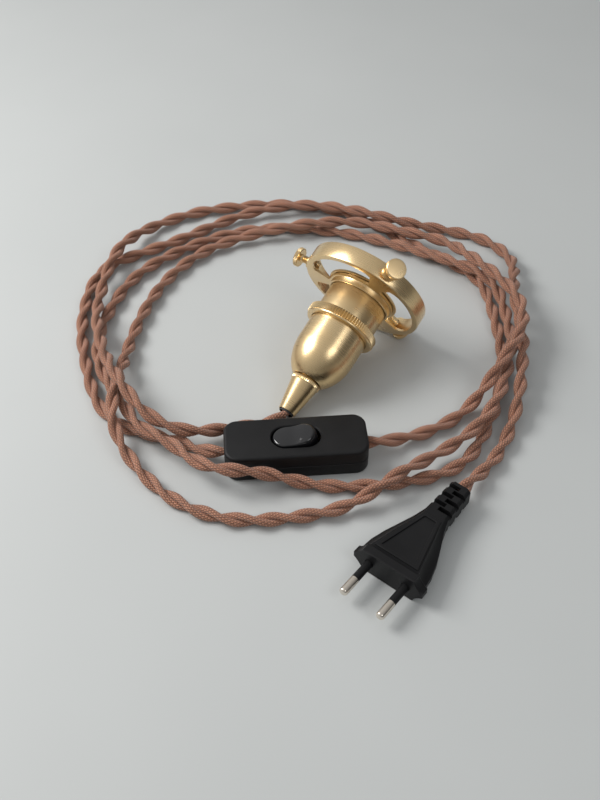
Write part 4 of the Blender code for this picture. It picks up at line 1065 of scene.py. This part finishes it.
def make_world(strength):
    """A room that is brighter on the window's side than on the other."""
    world = bpy.data.worlds.new("Soft room")
    world.use_nodes = True
    tree = world.node_tree
    background = tree.nodes["Background"]
    background.inputs["Strength"].default_value = strength
    place = node(tree, "ShaderNodeTexCoord")
    towards = node(tree, "ShaderNodeVectorMath", operation="DOT_PRODUCT")
    towards.inputs[1].default_value = (-0.62, 0.3, 0.72)
    tree.links.new(place.outputs["Generated"], towards.inputs[0])
    ramp = node(tree, "ShaderNodeMapRange", {"From Min": -0.4, "From Max": 0.95, "To Min": 0.0, "To Max": 1.0})
    tree.links.new(towards.outputs["Value"], ramp.inputs["Value"])
    colour = blend_colours(tree, ramp.outputs[0], (0.2, 0.2, 0.2), (1.0, 1.0, 1.0))
    tree.links.new(colour, background.inputs["Color"])
    bpy.context.scene.world = world


# ---------------------------------------------------------------- add-on


class LampSetSettings(bpy.types.PropertyGroup):
    twist_pitch: bpy.props.FloatProperty(
        name="Twist", description="Length of one full turn of the cord's two cores", default=TWIST_PITCH, unit="LENGTH"
    )
    housing_edge: bpy.props.FloatProperty(
        name="Switch edge", description="Rounding of the switch's top edge", default=SWITCH_EDGE, unit="LENGTH"
    )
    ring_teeth: bpy.props.IntProperty(
        name="Ring teeth", description="Teeth of the knurl on the union ring and on the nut", default=84
    )
    thumb_teeth: bpy.props.IntProperty(
        name="Thumbscrew teeth", description="Teeth of the knurl on a thumbscrew's head", default=44
    )
    table_size: bpy.props.FloatProperty(
        name="Table", description="Side of the square table top", default=4.0, unit="LENGTH"
    )
    room_light: bpy.props.FloatProperty(
        name="Room light", description="Strength of the light from all round", default=0.6, subtype="FACTOR"
    )


class LAMPSET_OT_materials(bpy.types.Operator):
    """Make every material and node group"""

    bl_idname = "lampset.materials"
    bl_label = "Materials"

    def execute(self, context):
        make_materials()
        return {"FINISHED"}


class LAMPSET_OT_switch(bpy.types.Operator):
    """Build the switch's two shells and its rocker"""

    bl_idname = "lampset.switch"
    bl_label = "Switch"

    def execute(self, context):
        make_lower_housing()
        make_upper_housing(context.scene.lamp_set.housing_edge)
        make_rocker()
        return {"FINISHED"}


class LAMPSET_OT_lampholder(bpy.types.Operator):
    """Build the lampholder's grip, dome, sleeve, union ring and nut"""

    bl_idname = "lampset.lampholder"
    bl_label = "Lampholder"

    def execute(self, context):
        make_grip()
        make_dome()
        make_sleeve_and_rings(context.scene.lamp_set.ring_teeth)
        return {"FINISHED"}


class LAMPSET_OT_gallery(bpy.types.Operator):
    """Build the shade gallery"""

    bl_idname = "lampset.gallery"
    bl_label = "Gallery"

    def execute(self, context):
        make_gallery()
        return {"FINISHED"}


class LAMPSET_OT_thumbscrews(bpy.types.Operator):
    """Build the gallery's three thumbscrews"""

    bl_idname = "lampset.thumbscrews"
    bl_label = "Thumbscrews"

    def execute(self, context):
        make_thumbscrews(context.scene.lamp_set.thumb_teeth)
        return {"FINISHED"}


class LAMPSET_OT_plug(bpy.types.Operator):
    """Build the plug's body and its raised panel edges"""

    bl_idname = "lampset.plug"
    bl_label = "Plug"

    def execute(self, context):
        make_plug_body()
        make_plug_frame()
        return {"FINISHED"}


class LAMPSET_OT_plug_pins(bpy.types.Operator):
    """Build the plug's pins and their sleeves"""

    bl_idname = "lampset.plug_pins"
    bl_label = "Plug pins"

    def execute(self, context):
        make_plug_pins()
        return {"FINISHED"}


class LAMPSET_OT_cords(bpy.types.Operator):
    """Build both twisted cords"""

    bl_idname = "lampset.cords"
    bl_label = "Cords"

    def execute(self, context):
        declare_cords(make_cords(context.scene.lamp_set.twist_pitch))
        return {"FINISHED"}


class LAMPSET_OT_inner_pieces(bpy.types.Operator):
    """Give the pieces inside their finishes"""

    bl_idname = "lampset.inner_pieces"
    bl_label = "Inner pieces"

    def execute(self, context):
        finish_inner_pieces()
        return {"FINISHED"}


class LAMPSET_OT_stage(bpy.types.Operator):
    """Set up the table, the lights and the camera"""

    bl_idname = "lampset.stage"
    bl_label = "Stage"

    def execute(self, context):
        settings = context.scene.lamp_set
        context.scene.view_settings.view_transform = "Standard"
        table = make_floor(settings.table_size)
        middle = (0.01, 0.06, 0)
        key = make_light("Key", (-0.62, 0.24, 0.62), middle, (0.45, 0.4), 6.2, (1, 0.985, 0.97))
        fill = make_light("Fill", (0.5, -0.6, 0.8), middle, (0.5, 0.4), 1.6, (0.97, 0.98, 1))
        make_camera()
        make_world(settings.room_light)
        return {"FINISHED"}


STEPS = (
    LAMPSET_OT_materials,
    LAMPSET_OT_switch,
    LAMPSET_OT_lampholder,
    LAMPSET_OT_gallery,
    LAMPSET_OT_thumbscrews,
    LAMPSET_OT_plug,
    LAMPSET_OT_plug_pins,
    LAMPSET_OT_cords,
    LAMPSET_OT_inner_pieces,
    LAMPSET_OT_stage,
)


class LAMPSET_PT_panel(bpy.types.Panel):
    """Settings and steps of the lamp cord set"""

    bl_label = "Lamp Cord Set"
    bl_idname = "LAMPSET_PT_panel"
    bl_space_type = "VIEW_3D"
    bl_region_type = "UI"
    bl_category = "Lamp Cord Set"

    def draw(self, context):
        settings = context.scene.lamp_set
        for name in ("twist_pitch", "housing_edge", "ring_teeth", "thumb_teeth", "table_size", "room_light"):
            self.layout.prop(settings, name)
        for step in STEPS:
            self.layout.operator(step.bl_idname)


CLASSES = (LampSetSettings, *STEPS, LAMPSET_PT_panel)


def register():
    for made in CLASSES:
        bpy.utils.register_class(made)
    bpy.types.Scene.lamp_set = bpy.props.PointerProperty(type=LampSetSettings)


def unregister():
    del bpy.types.Scene.lamp_set
    for made in reversed(CLASSES):
        bpy.utils.unregister_class(made)


def main():
    register()
    bpy.ops.lampset.materials()
    bpy.ops.lampset.switch()
    bpy.ops.lampset.lampholder()
    bpy.ops.lampset.gallery()
    bpy.ops.lampset.thumbscrews()
    bpy.ops.lampset.plug()
    bpy.ops.lampset.plug_pins()
    bpy.ops.lampset.cords()
    bpy.ops.lampset.inner_pieces()
    bpy.ops.lampset.stage()


if __name__ == "__main__":
    main()
